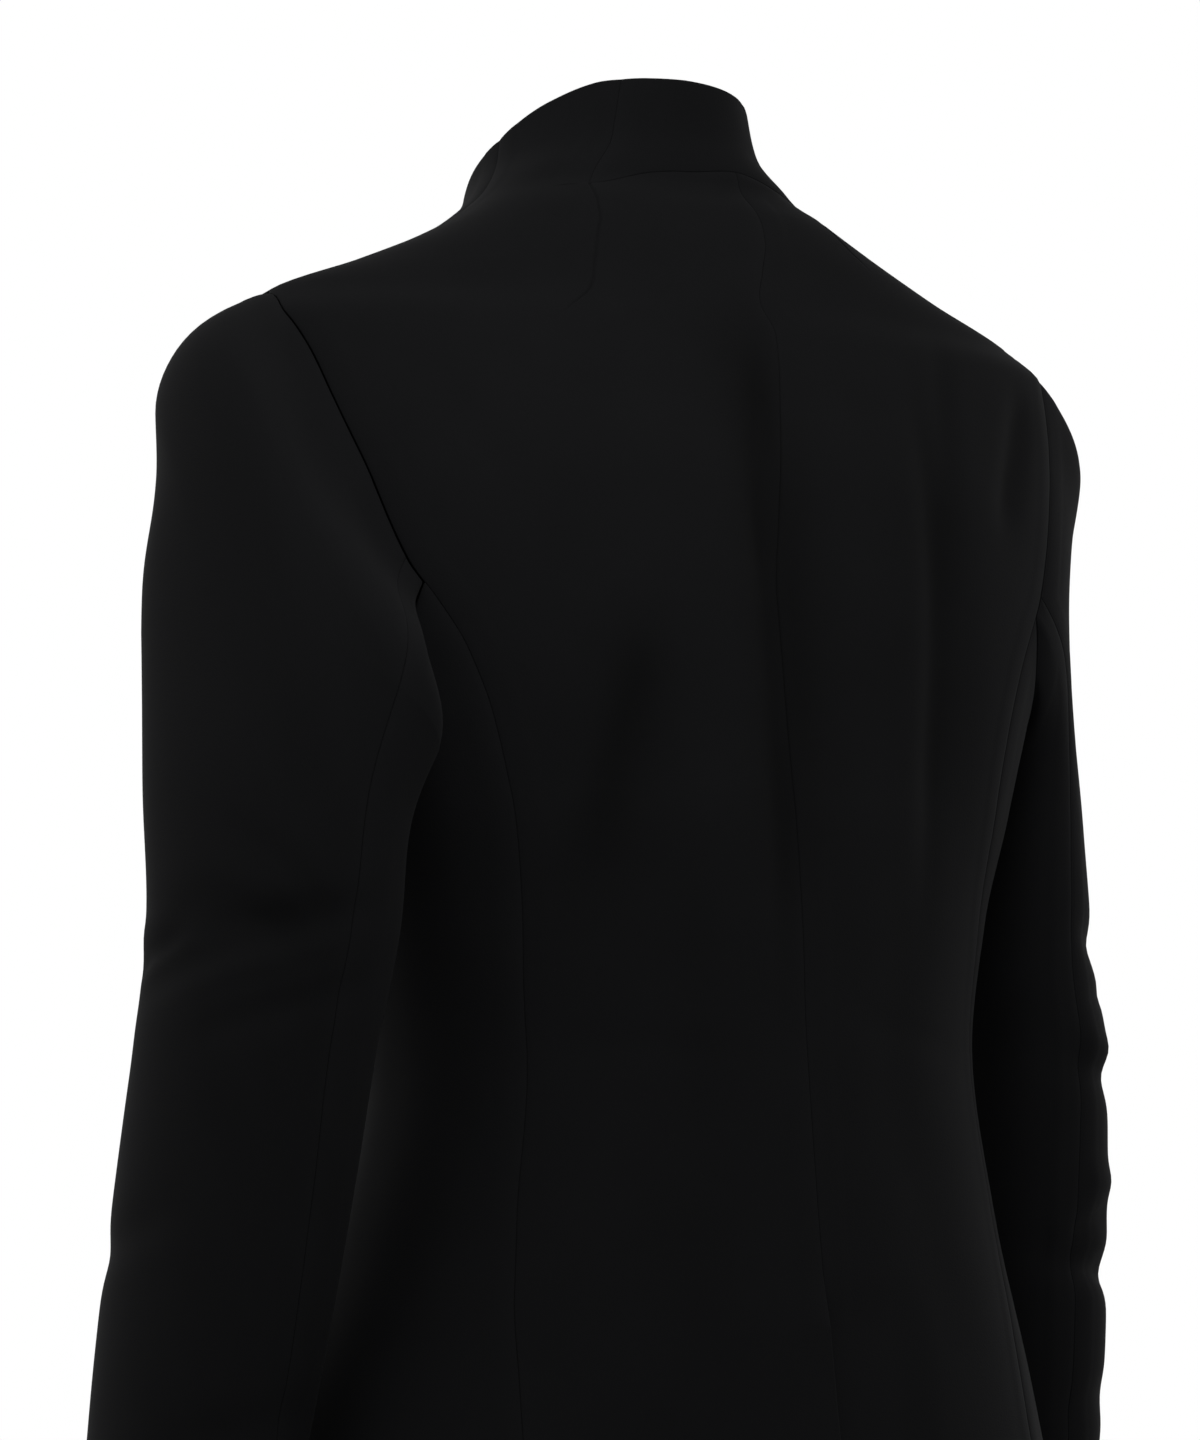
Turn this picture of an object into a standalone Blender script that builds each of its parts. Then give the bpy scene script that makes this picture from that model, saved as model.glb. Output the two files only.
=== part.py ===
"""Double-breasted suit jacket with a stand collar cut on its body, filled out and hollow.

Metres, +Z up. The wearer faces -Y, and the wearer's left is +X. The origin is where the jacket
is carried: midway between the shoulder seams, on the level of their inner ends at the neck.
The cloth is a wall CLOTH thick. The body is read from rings, one for each height, and each
sewn piece is a patch of it between two seams. A sleeve runs from the armhole to the cuff.
Around the body, a turn of 0 is the centre back, 90 the wearer's left and 180 the centre front.
"""

import math
from collections import namedtuple

import bpy
import numpy as np
from mathutils import Matrix

# ------------------------------------------------------------------ driving sizes

CLOTH = 0.0020            # thickness of the wool with its interlining
SEAM = 0.0003             # what two pieces stand apart at a seam
HEM = -0.690
VENT_TOP = -0.530
SHOULDER = -0.053         # shoulder seam at the sleeve head
NAPE = 0.018              # top of the centre back seam
BREAK = -0.215            # lowest point of the V neckline
OVERLAP = 0.075           # front edge past the centre front
LAYER = 0.0023            # half the step between two layers that lie on each other
VENT_LAP = 0.036          # width of the underlap at the vent
EDGE_EASE = 0.030         # width over which a layer rises or sinks
LAP_TOP = -0.060          # above this the fronts part and lie in one surface
LAP_EASE = 0.045          # height over which they settle on each other
VENT_EASE = 0.030         # the same at the top of the vent

Section = namedtuple("Section", "height half_width back front side_line back_square front_square")
TORSO = (
    Section(-0.690, 0.203, 0.099, -0.158, -0.046, 2.10, 2.60),
    Section(-0.550, 0.183, 0.091, -0.147, -0.042, 2.10, 2.60),
    Section(-0.474, 0.162, 0.090, -0.134, -0.031, 2.15, 2.55),
    Section(-0.400, 0.148, 0.091, -0.124, -0.016, 2.20, 2.45),
    Section(-0.340, 0.157, 0.097, -0.124, -0.006, 2.20, 2.35),
    Section(-0.289, 0.172, 0.101, -0.126, 0.000, 2.30, 2.30),
    Section(-0.208, 0.197, 0.101, -0.121, 0.009, 2.40, 2.30),
    Section(-0.150, 0.213, 0.096, -0.109, 0.012, 2.40, 2.30),
    Section(-0.100, 0.222, 0.085, -0.095, 0.011, 2.35, 2.20),
    Section(-0.070, 0.223, 0.078, -0.084, 0.010, 2.20, 2.00),
    Section(-0.053, 0.209, 0.073, -0.078, 0.009, 1.90, 1.80),
    Section(-0.035, 0.164, 0.067, -0.075, 0.007, 2.25, 1.90),
    Section(-0.020, 0.129, 0.062, -0.076, 0.004, 2.70, 2.00),
    Section(-0.005, 0.102, 0.056, -0.080, 0.000, 3.00, 2.00),
    Section(0.012, 0.081, 0.046, -0.087, -0.004, 2.90, 2.00),
    Section(0.030, 0.069, 0.046, -0.096, -0.010, 2.30, 2.10),
    Section(0.058, 0.063, 0.055, -0.103, -0.014, 2.10, 2.10),
)

# The side edge of a back: seam to the side panel, armhole, then shoulder seam
BackEdge = namedtuple("BackEdge", "height turn")
BACK_EDGE = (
    BackEdge(-0.690, 44.0),
    BackEdge(-0.600, 45.5),
    BackEdge(-0.545, 47.5),
    BackEdge(-0.506, 50.5),
    BackEdge(-0.450, 53.0),
    BackEdge(-0.387, 54.0),
    BackEdge(-0.335, 51.5),
    BackEdge(-0.288, 48.5),
    BackEdge(-0.254, 48.0),
    BackEdge(-0.225, 49.5),
    BackEdge(-0.203, 53.0),
    BackEdge(-0.186, 56.5),
    BackEdge(-0.139, 60.0),
    BackEdge(-0.096, 64.5),
    BackEdge(-0.075, 69.0),
    BackEdge(-0.064, 73.5),
    BackEdge(-0.057, 79.0),
    BackEdge(-0.054, 84.5),
    BackEdge(-0.053, 90.0),
    BackEdge(0.058, 90.0),
)
BACK_CORNER = -0.203      # where the seam to the side panel meets the armhole

# The centre back seam. The upper body is turned a little, so the seam runs off to the
# wearer's right towards the neck
Centre = namedtuple("Centre", "height turn")
CENTRE = (
    Centre(-0.690, 0.0),
    Centre(-0.200, 0.0),
    Centre(-0.161, -0.7),
    Centre(-0.114, -2.5),
    Centre(-0.080, -4.5),
    Centre(-0.050, -6.5),
    Centre(-0.020, -8.0),
    Centre(0.003, -11.0),
    Centre(0.018, -16.0),
)

# The seam at the foot of the short back collar
NeckSeam = namedtuple("NeckSeam", "turn height")
NECK_SEAM = (
    NeckSeam(-90.0, -0.002),
    NeckSeam(-62.0, 0.003),
    NeckSeam(-38.0, 0.013),
    NeckSeam(-16.0, 0.018),
    NeckSeam(6.0, 0.013),
    NeckSeam(28.0, 0.004),
    NeckSeam(90.0, -0.002),
)

# The side edge of a front, in the same order
FrontEdge = namedtuple("FrontEdge", "height turn")
FRONT_EDGE = (
    FrontEdge(-0.690, 112.0),
    FrontEdge(-0.400, 112.0),
    FrontEdge(-0.300, 113.0),
    FrontEdge(-0.240, 115.0),
    FrontEdge(-0.210, 118.0),
    FrontEdge(-0.190, 123.0),
    FrontEdge(-0.165, 128.0),
    FrontEdge(-0.130, 130.0),
    FrontEdge(-0.096, 124.5),
    FrontEdge(-0.075, 117.0),
    FrontEdge(-0.064, 110.5),
    FrontEdge(-0.057, 103.0),
    FrontEdge(-0.054, 96.0),
    FrontEdge(-0.053, 90.0),
    FrontEdge(0.058, 90.0),
)
FRONT_CORNER = -0.210

# The armhole along the top of a side panel
Scye = namedtuple("Scye", "turn height")
SCYE = (
    Scye(53.0, -0.203),
    Scye(65.0, -0.223),
    Scye(84.0, -0.238),
    Scye(102.0, -0.232),
    Scye(118.0, -0.210),
)

# Free edge of the collar, from centre back to the shoulder seam, then down the V of a front
Rim = namedtuple("Rim", "turn height")
RIM = (
    Rim(0.0, 0.058),
    Rim(35.0, 0.057),
    Rim(60.0, 0.051),
    Rim(90.0, 0.040),
)
Neckline = namedtuple("Neckline", "turn height")
NECKLINE = (
    Neckline(90.0, 0.040),
    Neckline(108.0, 0.032),
    Neckline(122.0, 0.020),
    Neckline(142.0, -0.010),
    Neckline(162.0, -0.047),
    Neckline(172.6, -0.082),
    Neckline(180.0, -0.122),
    Neckline(186.3, -0.160),
    Neckline(199.6, -0.215),
)

# Soft relief of the body, in metres out from the plain ring. A row is a ridge or, with a
# minus, a trough that runs from its top to its foot. Widths are half of what shows.
Fold = namedtuple("Fold", "where x_top top x_foot foot width depth")
FOLDS = (
    Fold("back", 0.000, -0.080, 0.000, -0.330, 0.022, -0.0060),
    Fold("back", 0.085, -0.110, 0.080, -0.260, 0.050, 0.0030),
    Fold("back", -0.085, -0.110, -0.080, -0.260, 0.050, 0.0030),
    Fold("back", 0.074, -0.220, 0.094, -0.350, 0.020, -0.0030),
    Fold("back", -0.096, -0.110, -0.090, -0.310, 0.020, -0.0030),
    Fold("front", 0.086, -0.215, 0.086, -0.300, 0.066, 0.0090),
    Fold("front", -0.086, -0.215, -0.086, -0.300, 0.066, 0.0090),
    Fold("front", 0.095, -0.320, 0.085, -0.470, 0.022, -0.0030),
    Fold("front", -0.095, -0.320, -0.085, -0.470, 0.022, -0.0030),
)

# Sleeves: sections of the tube below the armhole, for the wearer's left and right arm.
# out and back place the middle, toe turns the front end outwards, tilt lifts the outer side,
# pitch the front, and swing draws the two seams towards the body.
ArmSection = namedtuple("ArmSection", "height out back half_width half_depth toe tilt pitch swing")
ARM_LEFT = (
    ArmSection(-0.240, 0.2250, 0.039, 0.0370, 0.077, 20, 42, 0, 4),
    ArmSection(-0.290, 0.2280, 0.027, 0.0400, 0.069, 18, 22, 2, 6),
    ArmSection(-0.340, 0.2255, 0.014, 0.0430, 0.065, 15, 8, 6, 8),
    ArmSection(-0.390, 0.2265, -0.006, 0.0440, 0.061, 13, 2, 12, 10),
    ArmSection(-0.440, 0.2275, -0.026, 0.0440, 0.060, 12, 0, 16, 14),
    ArmSection(-0.527, 0.2300, -0.060, 0.0420, 0.058, 10, 0, 18, 20),
    ArmSection(-0.635, 0.2320, -0.103, 0.0370, 0.051, 8, 0, 18, 24),
)
ARM_RIGHT = (
    ArmSection(-0.240, 0.2120, -0.028, 0.0290, 0.066, 10, 42, 0, 4),
    ArmSection(-0.290, 0.2138, -0.035, 0.0370, 0.065, 12, 22, 2, 6),
    ArmSection(-0.344, 0.2138, -0.040, 0.0420, 0.063, 13, 8, 6, 8),
    ArmSection(-0.390, 0.2211, -0.046, 0.0440, 0.061, 13, 2, 10, 10),
    ArmSection(-0.449, 0.2225, -0.055, 0.0440, 0.058, 12, 0, 14, 14),
    ArmSection(-0.564, 0.2280, -0.076, 0.0405, 0.051, 10, 0, 16, 20),
    ArmSection(-0.635, 0.2310, -0.098, 0.0365, 0.046, 8, 0, 16, 24),
)

# How a point of the armhole runs on into the tube: its share of the way from the sleeve head
# to the underarm, the turn that it reaches around the tube (0 outside, 90 at the back or
# front), how far it leaves the body's slope, and the lengths of the first and the last handle
# of its curve as shares of the run
Run = namedtuple("Run", "share turn_back turn_front lift leaving landing")
RUN = (
    Run(0.00, 0.0, 0.0, 0.34, 0.50, 0.66),
    Run(0.40, 36.0, 50.0, 0.78, 0.50, 0.60),
    Run(0.66, 74.0, 108.0, 1.00, 0.42, 0.50),
    Run(0.80, 102.0, 135.0, 1.30, 0.34, 0.40),
    Run(1.00, 180.0, 180.0, 4.00, 0.28, 0.28),
)
FULLNESS = {"left": 1.00, "right": 0.25}    # how far the sleeve head stands out

# Creases of the sleeves, as the folds above, placed by height and turn around the tube
Crease = namedtuple("Crease", "side turn_top top turn_foot foot width depth")
CREASES = (
    Crease("left", -20, -0.330, 60, -0.352, 0.010, -0.0035),
    Crease("left", -30, -0.362, 75, -0.340, 0.009, -0.0030),
    Crease("left", 10, -0.385, 80, -0.372, 0.009, -0.0025),
    Crease("left", -60, -0.480, 10, -0.462, 0.011, -0.0020),
    Crease("left", -120, -0.352, -60, -0.366, 0.010, -0.0045),
    Crease("left", -125, -0.384, -55, -0.394, 0.009, -0.0035),
    Crease("left", 20, -0.560, 90, -0.545, 0.010, -0.0020),
    Crease("right", -20, -0.352, 60, -0.340, 0.010, -0.0030),
    Crease("right", 0, -0.412, 85, -0.400, 0.011, -0.0035),
    Crease("right", 10, -0.505, 90, -0.494, 0.010, -0.0050),
    Crease("right", -120, -0.350, -60, -0.362, 0.010, -0.0045),
    Crease("right", -125, -0.384, -55, -0.392, 0.009, -0.0035),
    Crease("right", -70, -0.470, 0, -0.455, 0.011, -0.0020),
    Crease("right", 20, -0.560, 80, -0.572, 0.010, -0.0025),
)

# Buttons: two columns of three
BUTTON_RADIUS = 0.0110
BUTTON_THICK = 0.0042
BUTTON_COLUMN = 0.056     # from the centre front
BUTTON_TOP = -0.245
BUTTON_STEP = 0.105
BUTTON_ROWS = 3
BUTTON_SIDES = 24

CLOTH_COLOUR = (0.0115, 0.0112, 0.0118, 1.0)
BUTTON_COLOUR = (0.010, 0.010, 0.011, 1.0)

# ------------------------------------------------------------------ rows and columns

# Heights of the rows along the side edge of a back and of a front
BACK_ROWS = (
    -0.690, -0.650, -0.610, -0.570, -0.530, -0.498, -0.465, -0.432, -0.400, -0.370, -0.340,
    -0.310, -0.282, -0.255, -0.229, -0.203, -0.184, -0.164, -0.144, -0.124, -0.105, -0.088,
    -0.074, -0.063, -0.053, -0.043, -0.033, -0.023, -0.013, -0.003, 0.008, 0.018,
)
FRONT_ROWS = (
    -0.690, -0.652, -0.614, -0.576, -0.538, -0.502, -0.468, -0.434, -0.400, -0.368, -0.338,
    -0.309, -0.282, -0.257, -0.233, -0.210, -0.190, -0.170, -0.150, -0.130, -0.111, -0.093,
    -0.077, -0.064, -0.053, -0.043, -0.032, -0.021, -0.010, 0.002, 0.015, 0.028, 0.040,
)
COLLAR_ROWS = (0.0, 0.33, 0.67, 1.0)
BACK_COLUMNS = 10
DART_COLUMN = {"left": 5, "right": 6}       # where the neck dart meets the neck seam
FRONT_COLUMNS = 14
SIDE_COLUMNS = 9
COLUMN_SPREAD = 1.25      # columns lie closer together at the centre back
VENT_COLUMNS = 3
CAP_STEPS = (0.0, 0.06, 0.14, 0.24, 0.36, 0.49, 0.62, 0.75, 0.88)
TUBE_ROWS = 14
NORMAL_PASSES = 3         # how often a sleeve's wall directions are evened out along its length


def smooth_table(rows, column, keys):
    """Read one named column of a table at any key, smoothly and without overshoot."""
    at = np.array([row[0] for row in rows], float)
    value = np.array([getattr(row, column) for row in rows], float)
    step = np.diff(at)
    slope = np.diff(value) / step
    tangent = np.zeros(len(at))
    tangent[0], tangent[-1] = slope[0], slope[-1]
    same = slope[:-1] * slope[1:] > 0
    below = (2 * step[1:] + step[:-1])[same] / slope[:-1][same]
    above = (step[1:] + 2 * step[:-1])[same] / slope[1:][same]
    tangent[1:-1][same] = 3 * (step[:-1] + step[1:])[same] / (below + above)
    keys = np.clip(np.asarray(keys, float), at[0], at[-1])
    k = np.clip(np.searchsorted(at, keys, side="right") - 1, 0, len(step) - 1)
    t = (keys - at[k]) / step[k]
    return (
        (2 * t**3 - 3 * t**2 + 1) * value[k]
        + (t**3 - 2 * t**2 + t) * step[k] * tangent[k]
        + (3 * t**2 - 2 * t**3) * value[k + 1]
        + (t**3 - t**2) * step[k] * tangent[k + 1]
    )


def ease(t):
    """0 before 0, 1 after 1, and a soft S between them."""
    t = np.clip(t, 0.0, 1.0)
    return t * t * (3 - 2 * t)


def unit(vectors):
    """Vectors of length one."""
    length = np.linalg.norm(vectors, axis=-1, keepdims=True)
    return vectors / np.maximum(length, 1e-12)


# ------------------------------------------------------------------ the body's surface


def ring(turn, height):
    """Points of the plain torso at a turn in degrees and a height."""
    turn, height = np.broadcast_arrays(np.radians(turn), np.asarray(height, float))
    value = {name: smooth_table(TORSO, name, height) for name in Section._fields[1:]}
    behind = np.cos(turn) > 0
    square = np.where(behind, value["back_square"], value["front_square"])
    reach = np.where(behind, value["back"], value["front"]) - value["side_line"]
    x = value["half_width"] * np.abs(np.sin(turn)) ** (2 / square) * np.sign(np.sin(turn))
    y = value["side_line"] + reach * np.abs(np.cos(turn)) ** (2 / square)
    return np.stack([x, y, height], axis=-1)


def normal(turn, height):
    """Outward direction of the plain torso."""
    around = ring(turn + 0.6, height) - ring(turn - 0.6, height)
    upward = ring(turn, height + 0.002) - ring(turn, height - 0.002)
    return unit(np.cross(upward, around))


def along_line(x, height, x_top, top, x_foot, foot, width):
    """Weight of a soft line: 1 on it, fading to its sides and towards its two ends."""
    way = np.array([x_foot - x_top, foot - top])
    length = math.hypot(*way)
    along = ((x - x_top) * way[0] + (height - top) * way[1]) / length**2
    aside = ((x - x_top) * way[1] - (height - top) * way[0]) / length
    return np.exp(-((aside / width) ** 2)) * np.exp(-((2.0 * (along - 0.5)) ** 4))


def relief(point, height):
    """How far the folds move a point of the torso outwards."""
    x, behind = point[..., 0], point[..., 1] > smooth_table(TORSO, "side_line", height)
    total = np.zeros(x.shape)
    for fold in FOLDS:
        here = behind if fold.where == "back" else ~behind
        total += here * fold.depth * along_line(x, height, *fold[1:6])
    return total


def flat(point, height):
    """No step: the piece lies in the body's own surface."""
    return np.zeros(height.shape)


def front_step(point, height):
    """Step of a front layer: full where the two fronts lie on each other."""
    inward = ease((OVERLAP + EDGE_EASE - np.abs(point[..., 0])) / EDGE_EASE)
    return LAYER * inward * ease((LAP_TOP - height) / LAP_EASE)


def vent_step(point, height):
    """Step of a vent layer, from nothing at the top of the vent to full at once below it."""
    inward = ease((VENT_LAP + EDGE_EASE - np.abs(point[..., 0])) / EDGE_EASE)
    return LAYER * inward * ease((VENT_TOP + VENT_EASE - height) / VENT_EASE)


def walls(turn, height, step=flat, sign=1):
    """Outer and inner points of a patch of the body."""
    plain = ring(turn, height)
    out = normal(turn, height)
    lift = relief(plain, height) + sign * step(plain, height)
    outer = plain + out * lift[..., None]
    return outer, outer - out * CLOTH


def turn_at(x, height):
    """Turn past the centre front where the surface reaches x, for a left front."""
    width = smooth_table(TORSO, "half_width", height)
    square = smooth_table(TORSO, "front_square", height)
    share = np.clip(x / width, 0.0, 0.98)
    return 180.0 + np.degrees(np.arcsin(share ** (square / 2)))


def half_seam(turn, height):
    """Half of the seam's gap, in degrees of turn."""
    span = np.linalg.norm(ring(turn + 0.5, height) - ring(turn - 0.5, height), axis=-1)
    return SEAM / 2 / np.maximum(span, 1e-6)


# ------------------------------------------------------------------ making a shell


def shell(name, outer, inner, present=None):
    """Closed wall between two grids of points. present says which cells there are."""
    rows, columns = outer.shape[:2]
    if present is None:
        present = np.ones((rows - 1, columns - 1), bool)
    used, points, faces = {}, [], []

    def vertex(grid, i, j):
        key = (grid is inner, i, j)
        if key not in used:
            used[key] = len(points)
            points.append(tuple(float(v) for v in grid[i, j]))
        return used[key]

    def has(i, j):
        return 0 <= i < rows - 1 and 0 <= j < columns - 1 and present[i, j]

    for i in range(rows - 1):
        for j in range(columns - 1):
            if not has(i, j):
                continue
            corners = ((i, j), (i, j + 1), (i + 1, j + 1), (i + 1, j))
            faces.append([vertex(outer, *corner) for corner in corners])
            faces.append([vertex(inner, *corner) for corner in reversed(corners)])
            beside = ((i - 1, j), (i, j + 1), (i + 1, j), (i, j - 1))
            for k, neighbour in enumerate(beside):
                if not has(*neighbour):
                    a, b = corners[k], corners[(k + 1) % 4]
                    rim = [vertex(outer, *b), vertex(outer, *a), vertex(inner, *a), vertex(inner, *b)]
                    # both pieces at a seam split their rims the same way, so they stay apart
                    start = 1 if a < b else 0
                    faces.append([rim[start], rim[start + 1], rim[(start + 2) % 4]])
                    faces.append([rim[start], rim[(start + 2) % 4], rim[(start + 3) % 4]])
    volume = 0.0
    for face in faces:
        a = np.array(points[face[0]])
        for k in range(1, len(face) - 1):
            volume += np.dot(a, np.cross(points[face[k]], points[face[k + 1]]))
    if volume < 0:
        faces = [face[::-1] for face in faces]
    mesh = bpy.data.meshes.new(name)
    mesh.from_pydata(points, [], faces)
    mesh.shade_smooth()
    return finish_object(name, mesh, CLOTH_COLOUR, 0.9)


def finish_object(name, mesh, colour, roughness):
    """An object for a mesh, with its own plain material, in the jacket's collection."""
    material = bpy.data.materials.new(name)
    material.use_nodes = True
    surface = material.node_tree.nodes["Principled BSDF"]
    surface.inputs["Base Color"].default_value = colour
    surface.inputs["Roughness"].default_value = roughness
    mesh.materials.append(material)
    piece = bpy.data.objects.new(name, mesh)
    bpy.data.collections["Double_breasted_suit_jacket"].objects.link(piece)
    return piece


# ------------------------------------------------------------------ body pieces


def back_grid(side):
    """Turns and heights of a back, with the side of the collar cut on. Turns grow outwards."""
    sign = 1 if side == "left" else -1
    column = np.linspace(0.0, 1.0, BACK_COLUMNS + 1) ** COLUMN_SPREAD
    level = np.array(BACK_ROWS)[:, None]
    centre = sign * smooth_table(CENTRE, "turn", level)
    neck = smooth_table(NECK_SEAM, "height", sign * (centre[-1] + column * (90.0 - centre[-1])))
    upper = np.maximum(level - SHOULDER, 0.0) / (NAPE - SHOULDER)
    height = np.minimum(level, SHOULDER) + upper * (neck - SHOULDER)
    edge = smooth_table(BACK_EDGE, "turn", height)
    turn = centre + column * (edge - centre)
    rim = smooth_table(RIM, "height", np.abs(turn[-1]))
    share = np.array(COLLAR_ROWS[1:])[:, None]
    collar = neck + share * (rim - neck)
    height = np.vstack([height, collar])
    turn = np.vstack([turn, np.repeat(turn[-1:], len(share), axis=0)])
    return turn, height


def make_back(side):
    """One back. The left one lies on the right one at the vent."""
    turn, height = back_grid(side)
    dart = DART_COLUMN[side]
    gap = half_seam(turn, height)
    turn[:, 0] += gap[:, 0]
    corner = BACK_ROWS.index(BACK_CORNER)
    shoulder = BACK_ROWS.index(SHOULDER)
    turn[: corner + 1, -1] -= gap[: corner + 1, -1]
    turn[shoulder:, -1] -= gap[shoulder:, -1]
    neck = len(BACK_ROWS) - 1
    height[neck, : dart + 1] -= SEAM / 2
    present = np.ones((turn.shape[0] - 1, turn.shape[1] - 1), bool)
    present[neck:, :dart] = False
    turn[neck:, dart] += gap[neck:, dart]
    if side == "right":
        width = smooth_table(TORSO, "half_width", height[:, :1])
        square = smooth_table(TORSO, "back_square", height[:, :1])
        lap = np.linspace(1.0, 1.0 / VENT_COLUMNS, VENT_COLUMNS)[None, :] * VENT_LAP
        lap_turn = -np.degrees(np.arcsin((lap / width) ** (square / 2)))
        turn = np.hstack([lap_turn, turn])
        height = np.hstack([np.repeat(height[:, :1], VENT_COLUMNS, axis=1), height])
        below_vent = np.arange(len(present)) < BACK_ROWS.index(VENT_TOP)
        present = np.hstack([np.repeat(below_vent[:, None], VENT_COLUMNS, axis=1), present])
        return shell("back_right", *walls(-turn, height, vent_step, -1), present)
    return shell("back_left", *walls(turn, height, vent_step, 1), present)


def make_collar_back():
    """The short stand between the two neck darts."""
    left = back_grid("left")[0][-1, : DART_COLUMN["left"] + 1]
    right = back_grid("right")[0][-1, 1 : DART_COLUMN["right"] + 1]
    turn = np.concatenate([-right[::-1], left])
    neck = smooth_table(NECK_SEAM, "height", turn)
    rim = smooth_table(RIM, "height", np.abs(turn))
    share = np.array(COLLAR_ROWS)[:, None]
    height = neck + share * (rim - neck)
    turn = np.repeat(turn[None, :], len(height), axis=0)
    gap = half_seam(turn, height)
    turn[:, 0] += gap[:, 0]
    turn[:, -1] -= gap[:, -1]
    height[0] += SEAM / 2
    return shell("collar_back", *walls(turn, height))


def make_side(side):
    """One side panel, from the hem to the lower part of the armhole."""
    column = np.linspace(0.0, 1.0, SIDE_COLUMNS + 1)
    top = scye_heights(column)
    beside_back = np.array(BACK_ROWS[: BACK_ROWS.index(BACK_CORNER) + 1])
    beside_front = np.array(FRONT_ROWS[: FRONT_ROWS.index(FRONT_CORNER) + 1])
    rear_share = ((beside_back - HEM) / (BACK_CORNER - HEM))[:, None]
    fore_share = ((beside_front - HEM) / (FRONT_CORNER - HEM))[:, None]
    height = HEM + (rear_share + column * (fore_share - rear_share)) * (top - HEM)
    rear = smooth_table(BACK_EDGE, "turn", height)
    fore = smooth_table(FRONT_EDGE, "turn", height)
    turn = rear + column * (fore - rear)
    gap = half_seam(turn, height)
    turn[:, 0] += gap[:, 0]
    turn[:, -1] -= gap[:, -1]
    sign = 1 if side == "left" else -1
    return shell("side_" + side, *walls(sign * turn, height))


def scye_heights(column):
    """Height of the armhole over each column of a side panel."""
    height = np.interp(column, [0.0, 1.0], [BACK_CORNER, FRONT_CORNER])
    for _ in range(30):
        rear = smooth_table(BACK_EDGE, "turn", height)
        fore = smooth_table(FRONT_EDGE, "turn", height)
        wanted = smooth_table(SCYE, "height", rear + column * (fore - rear))
        height = height + 0.5 * (wanted - height)
    height[0], height[-1] = BACK_CORNER, FRONT_CORNER
    return height


def neckline_heights(column):
    """Where each column of a front ends: at the collar's edge or along the V."""
    low = np.full(column.shape, BREAK)
    high = np.full(column.shape, NECKLINE[0].height)
    for _ in range(40):
        middle = (low + high) / 2
        edge = smooth_table(FRONT_EDGE, "turn", middle)
        turn = edge + column * (turn_at(OVERLAP, middle) - edge)
        over = smooth_table(NECKLINE, "height", turn) < middle
        high = np.where(over, middle, high)
        low = np.where(over, low, middle)
    return (low + high) / 2


def make_front(side):
    """One front. The right one lies on the left one."""
    column = np.linspace(0.0, 1.0, FRONT_COLUMNS + 1)
    top = neckline_heights(column)
    level = np.array(FRONT_ROWS)
    share = ((level - HEM) / (level[-1] - HEM))[:, None]
    height = HEM + share * (top - HEM)
    edge = smooth_table(FRONT_EDGE, "turn", height)
    turn = edge + column * (turn_at(OVERLAP, height) - edge)
    gap = half_seam(turn, height)
    corner = FRONT_ROWS.index(FRONT_CORNER)
    shoulder = FRONT_ROWS.index(SHOULDER)
    turn[: corner + 1, 0] += gap[: corner + 1, 0]
    turn[shoulder:, 0] += gap[shoulder:, 0]
    if side == "left":
        return shell("front_left", *walls(turn, height, front_step, -1))
    return shell("front_right", *walls(-turn, height, front_step, 1))


# ------------------------------------------------------------------ sleeves


def armhole(side):
    """Corner points of the body pieces around an armhole, and the body's outward direction.

    The way is from the sleeve head down the back, along the side panel and up the front.
    """
    corner, shoulder = BACK_ROWS.index(BACK_CORNER), BACK_ROWS.index(SHOULDER)
    back = [(smooth_table(BACK_EDGE, "turn", h), h) for h in BACK_ROWS[corner : shoulder + 1]]
    column = np.linspace(0.0, 1.0, SIDE_COLUMNS + 1)
    height = scye_heights(column)
    rear = smooth_table(BACK_EDGE, "turn", height)
    fore = smooth_table(FRONT_EDGE, "turn", height)
    under = list(zip(rear + column * (fore - rear), height))
    corner, shoulder = FRONT_ROWS.index(FRONT_CORNER), FRONT_ROWS.index(SHOULDER)
    front = [(smooth_table(FRONT_EDGE, "turn", h), h) for h in FRONT_ROWS[corner:shoulder]]
    way = np.array(back[::-1] + under[1:-1] + front, float)
    sign = 1 if side == "left" else -1
    turn, height = sign * way[:, 0], way[:, 1]
    outer, inner = walls(turn, height)
    return outer, unit(outer - inner), (len(back) - 2, len(back) + len(under) - 2)


def tube_point(table, side, height, turn):
    """Points of a sleeve's tube at a height of its middle and a turn around it."""
    value = {name: smooth_table(table[::-1], name, height) for name in ArmSection._fields[1:]}
    toe, angle = np.radians(value["toe"]), np.radians(turn)
    angle = angle + np.radians(value["swing"]) * np.sin(angle)
    wide = value["half_width"] * np.cos(angle)
    deep = value["half_depth"] * np.sin(angle)
    x = np.cos(toe) * wide - np.sin(toe) * deep
    y = np.sin(toe) * wide + np.cos(toe) * deep
    z = height + np.tan(np.radians(value["tilt"])) * x - np.tan(np.radians(value["pitch"])) * y
    sign = 1 if side == "left" else -1
    return np.stack([sign * (value["out"] + x), value["back"] + y, z], axis=-1)


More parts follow.
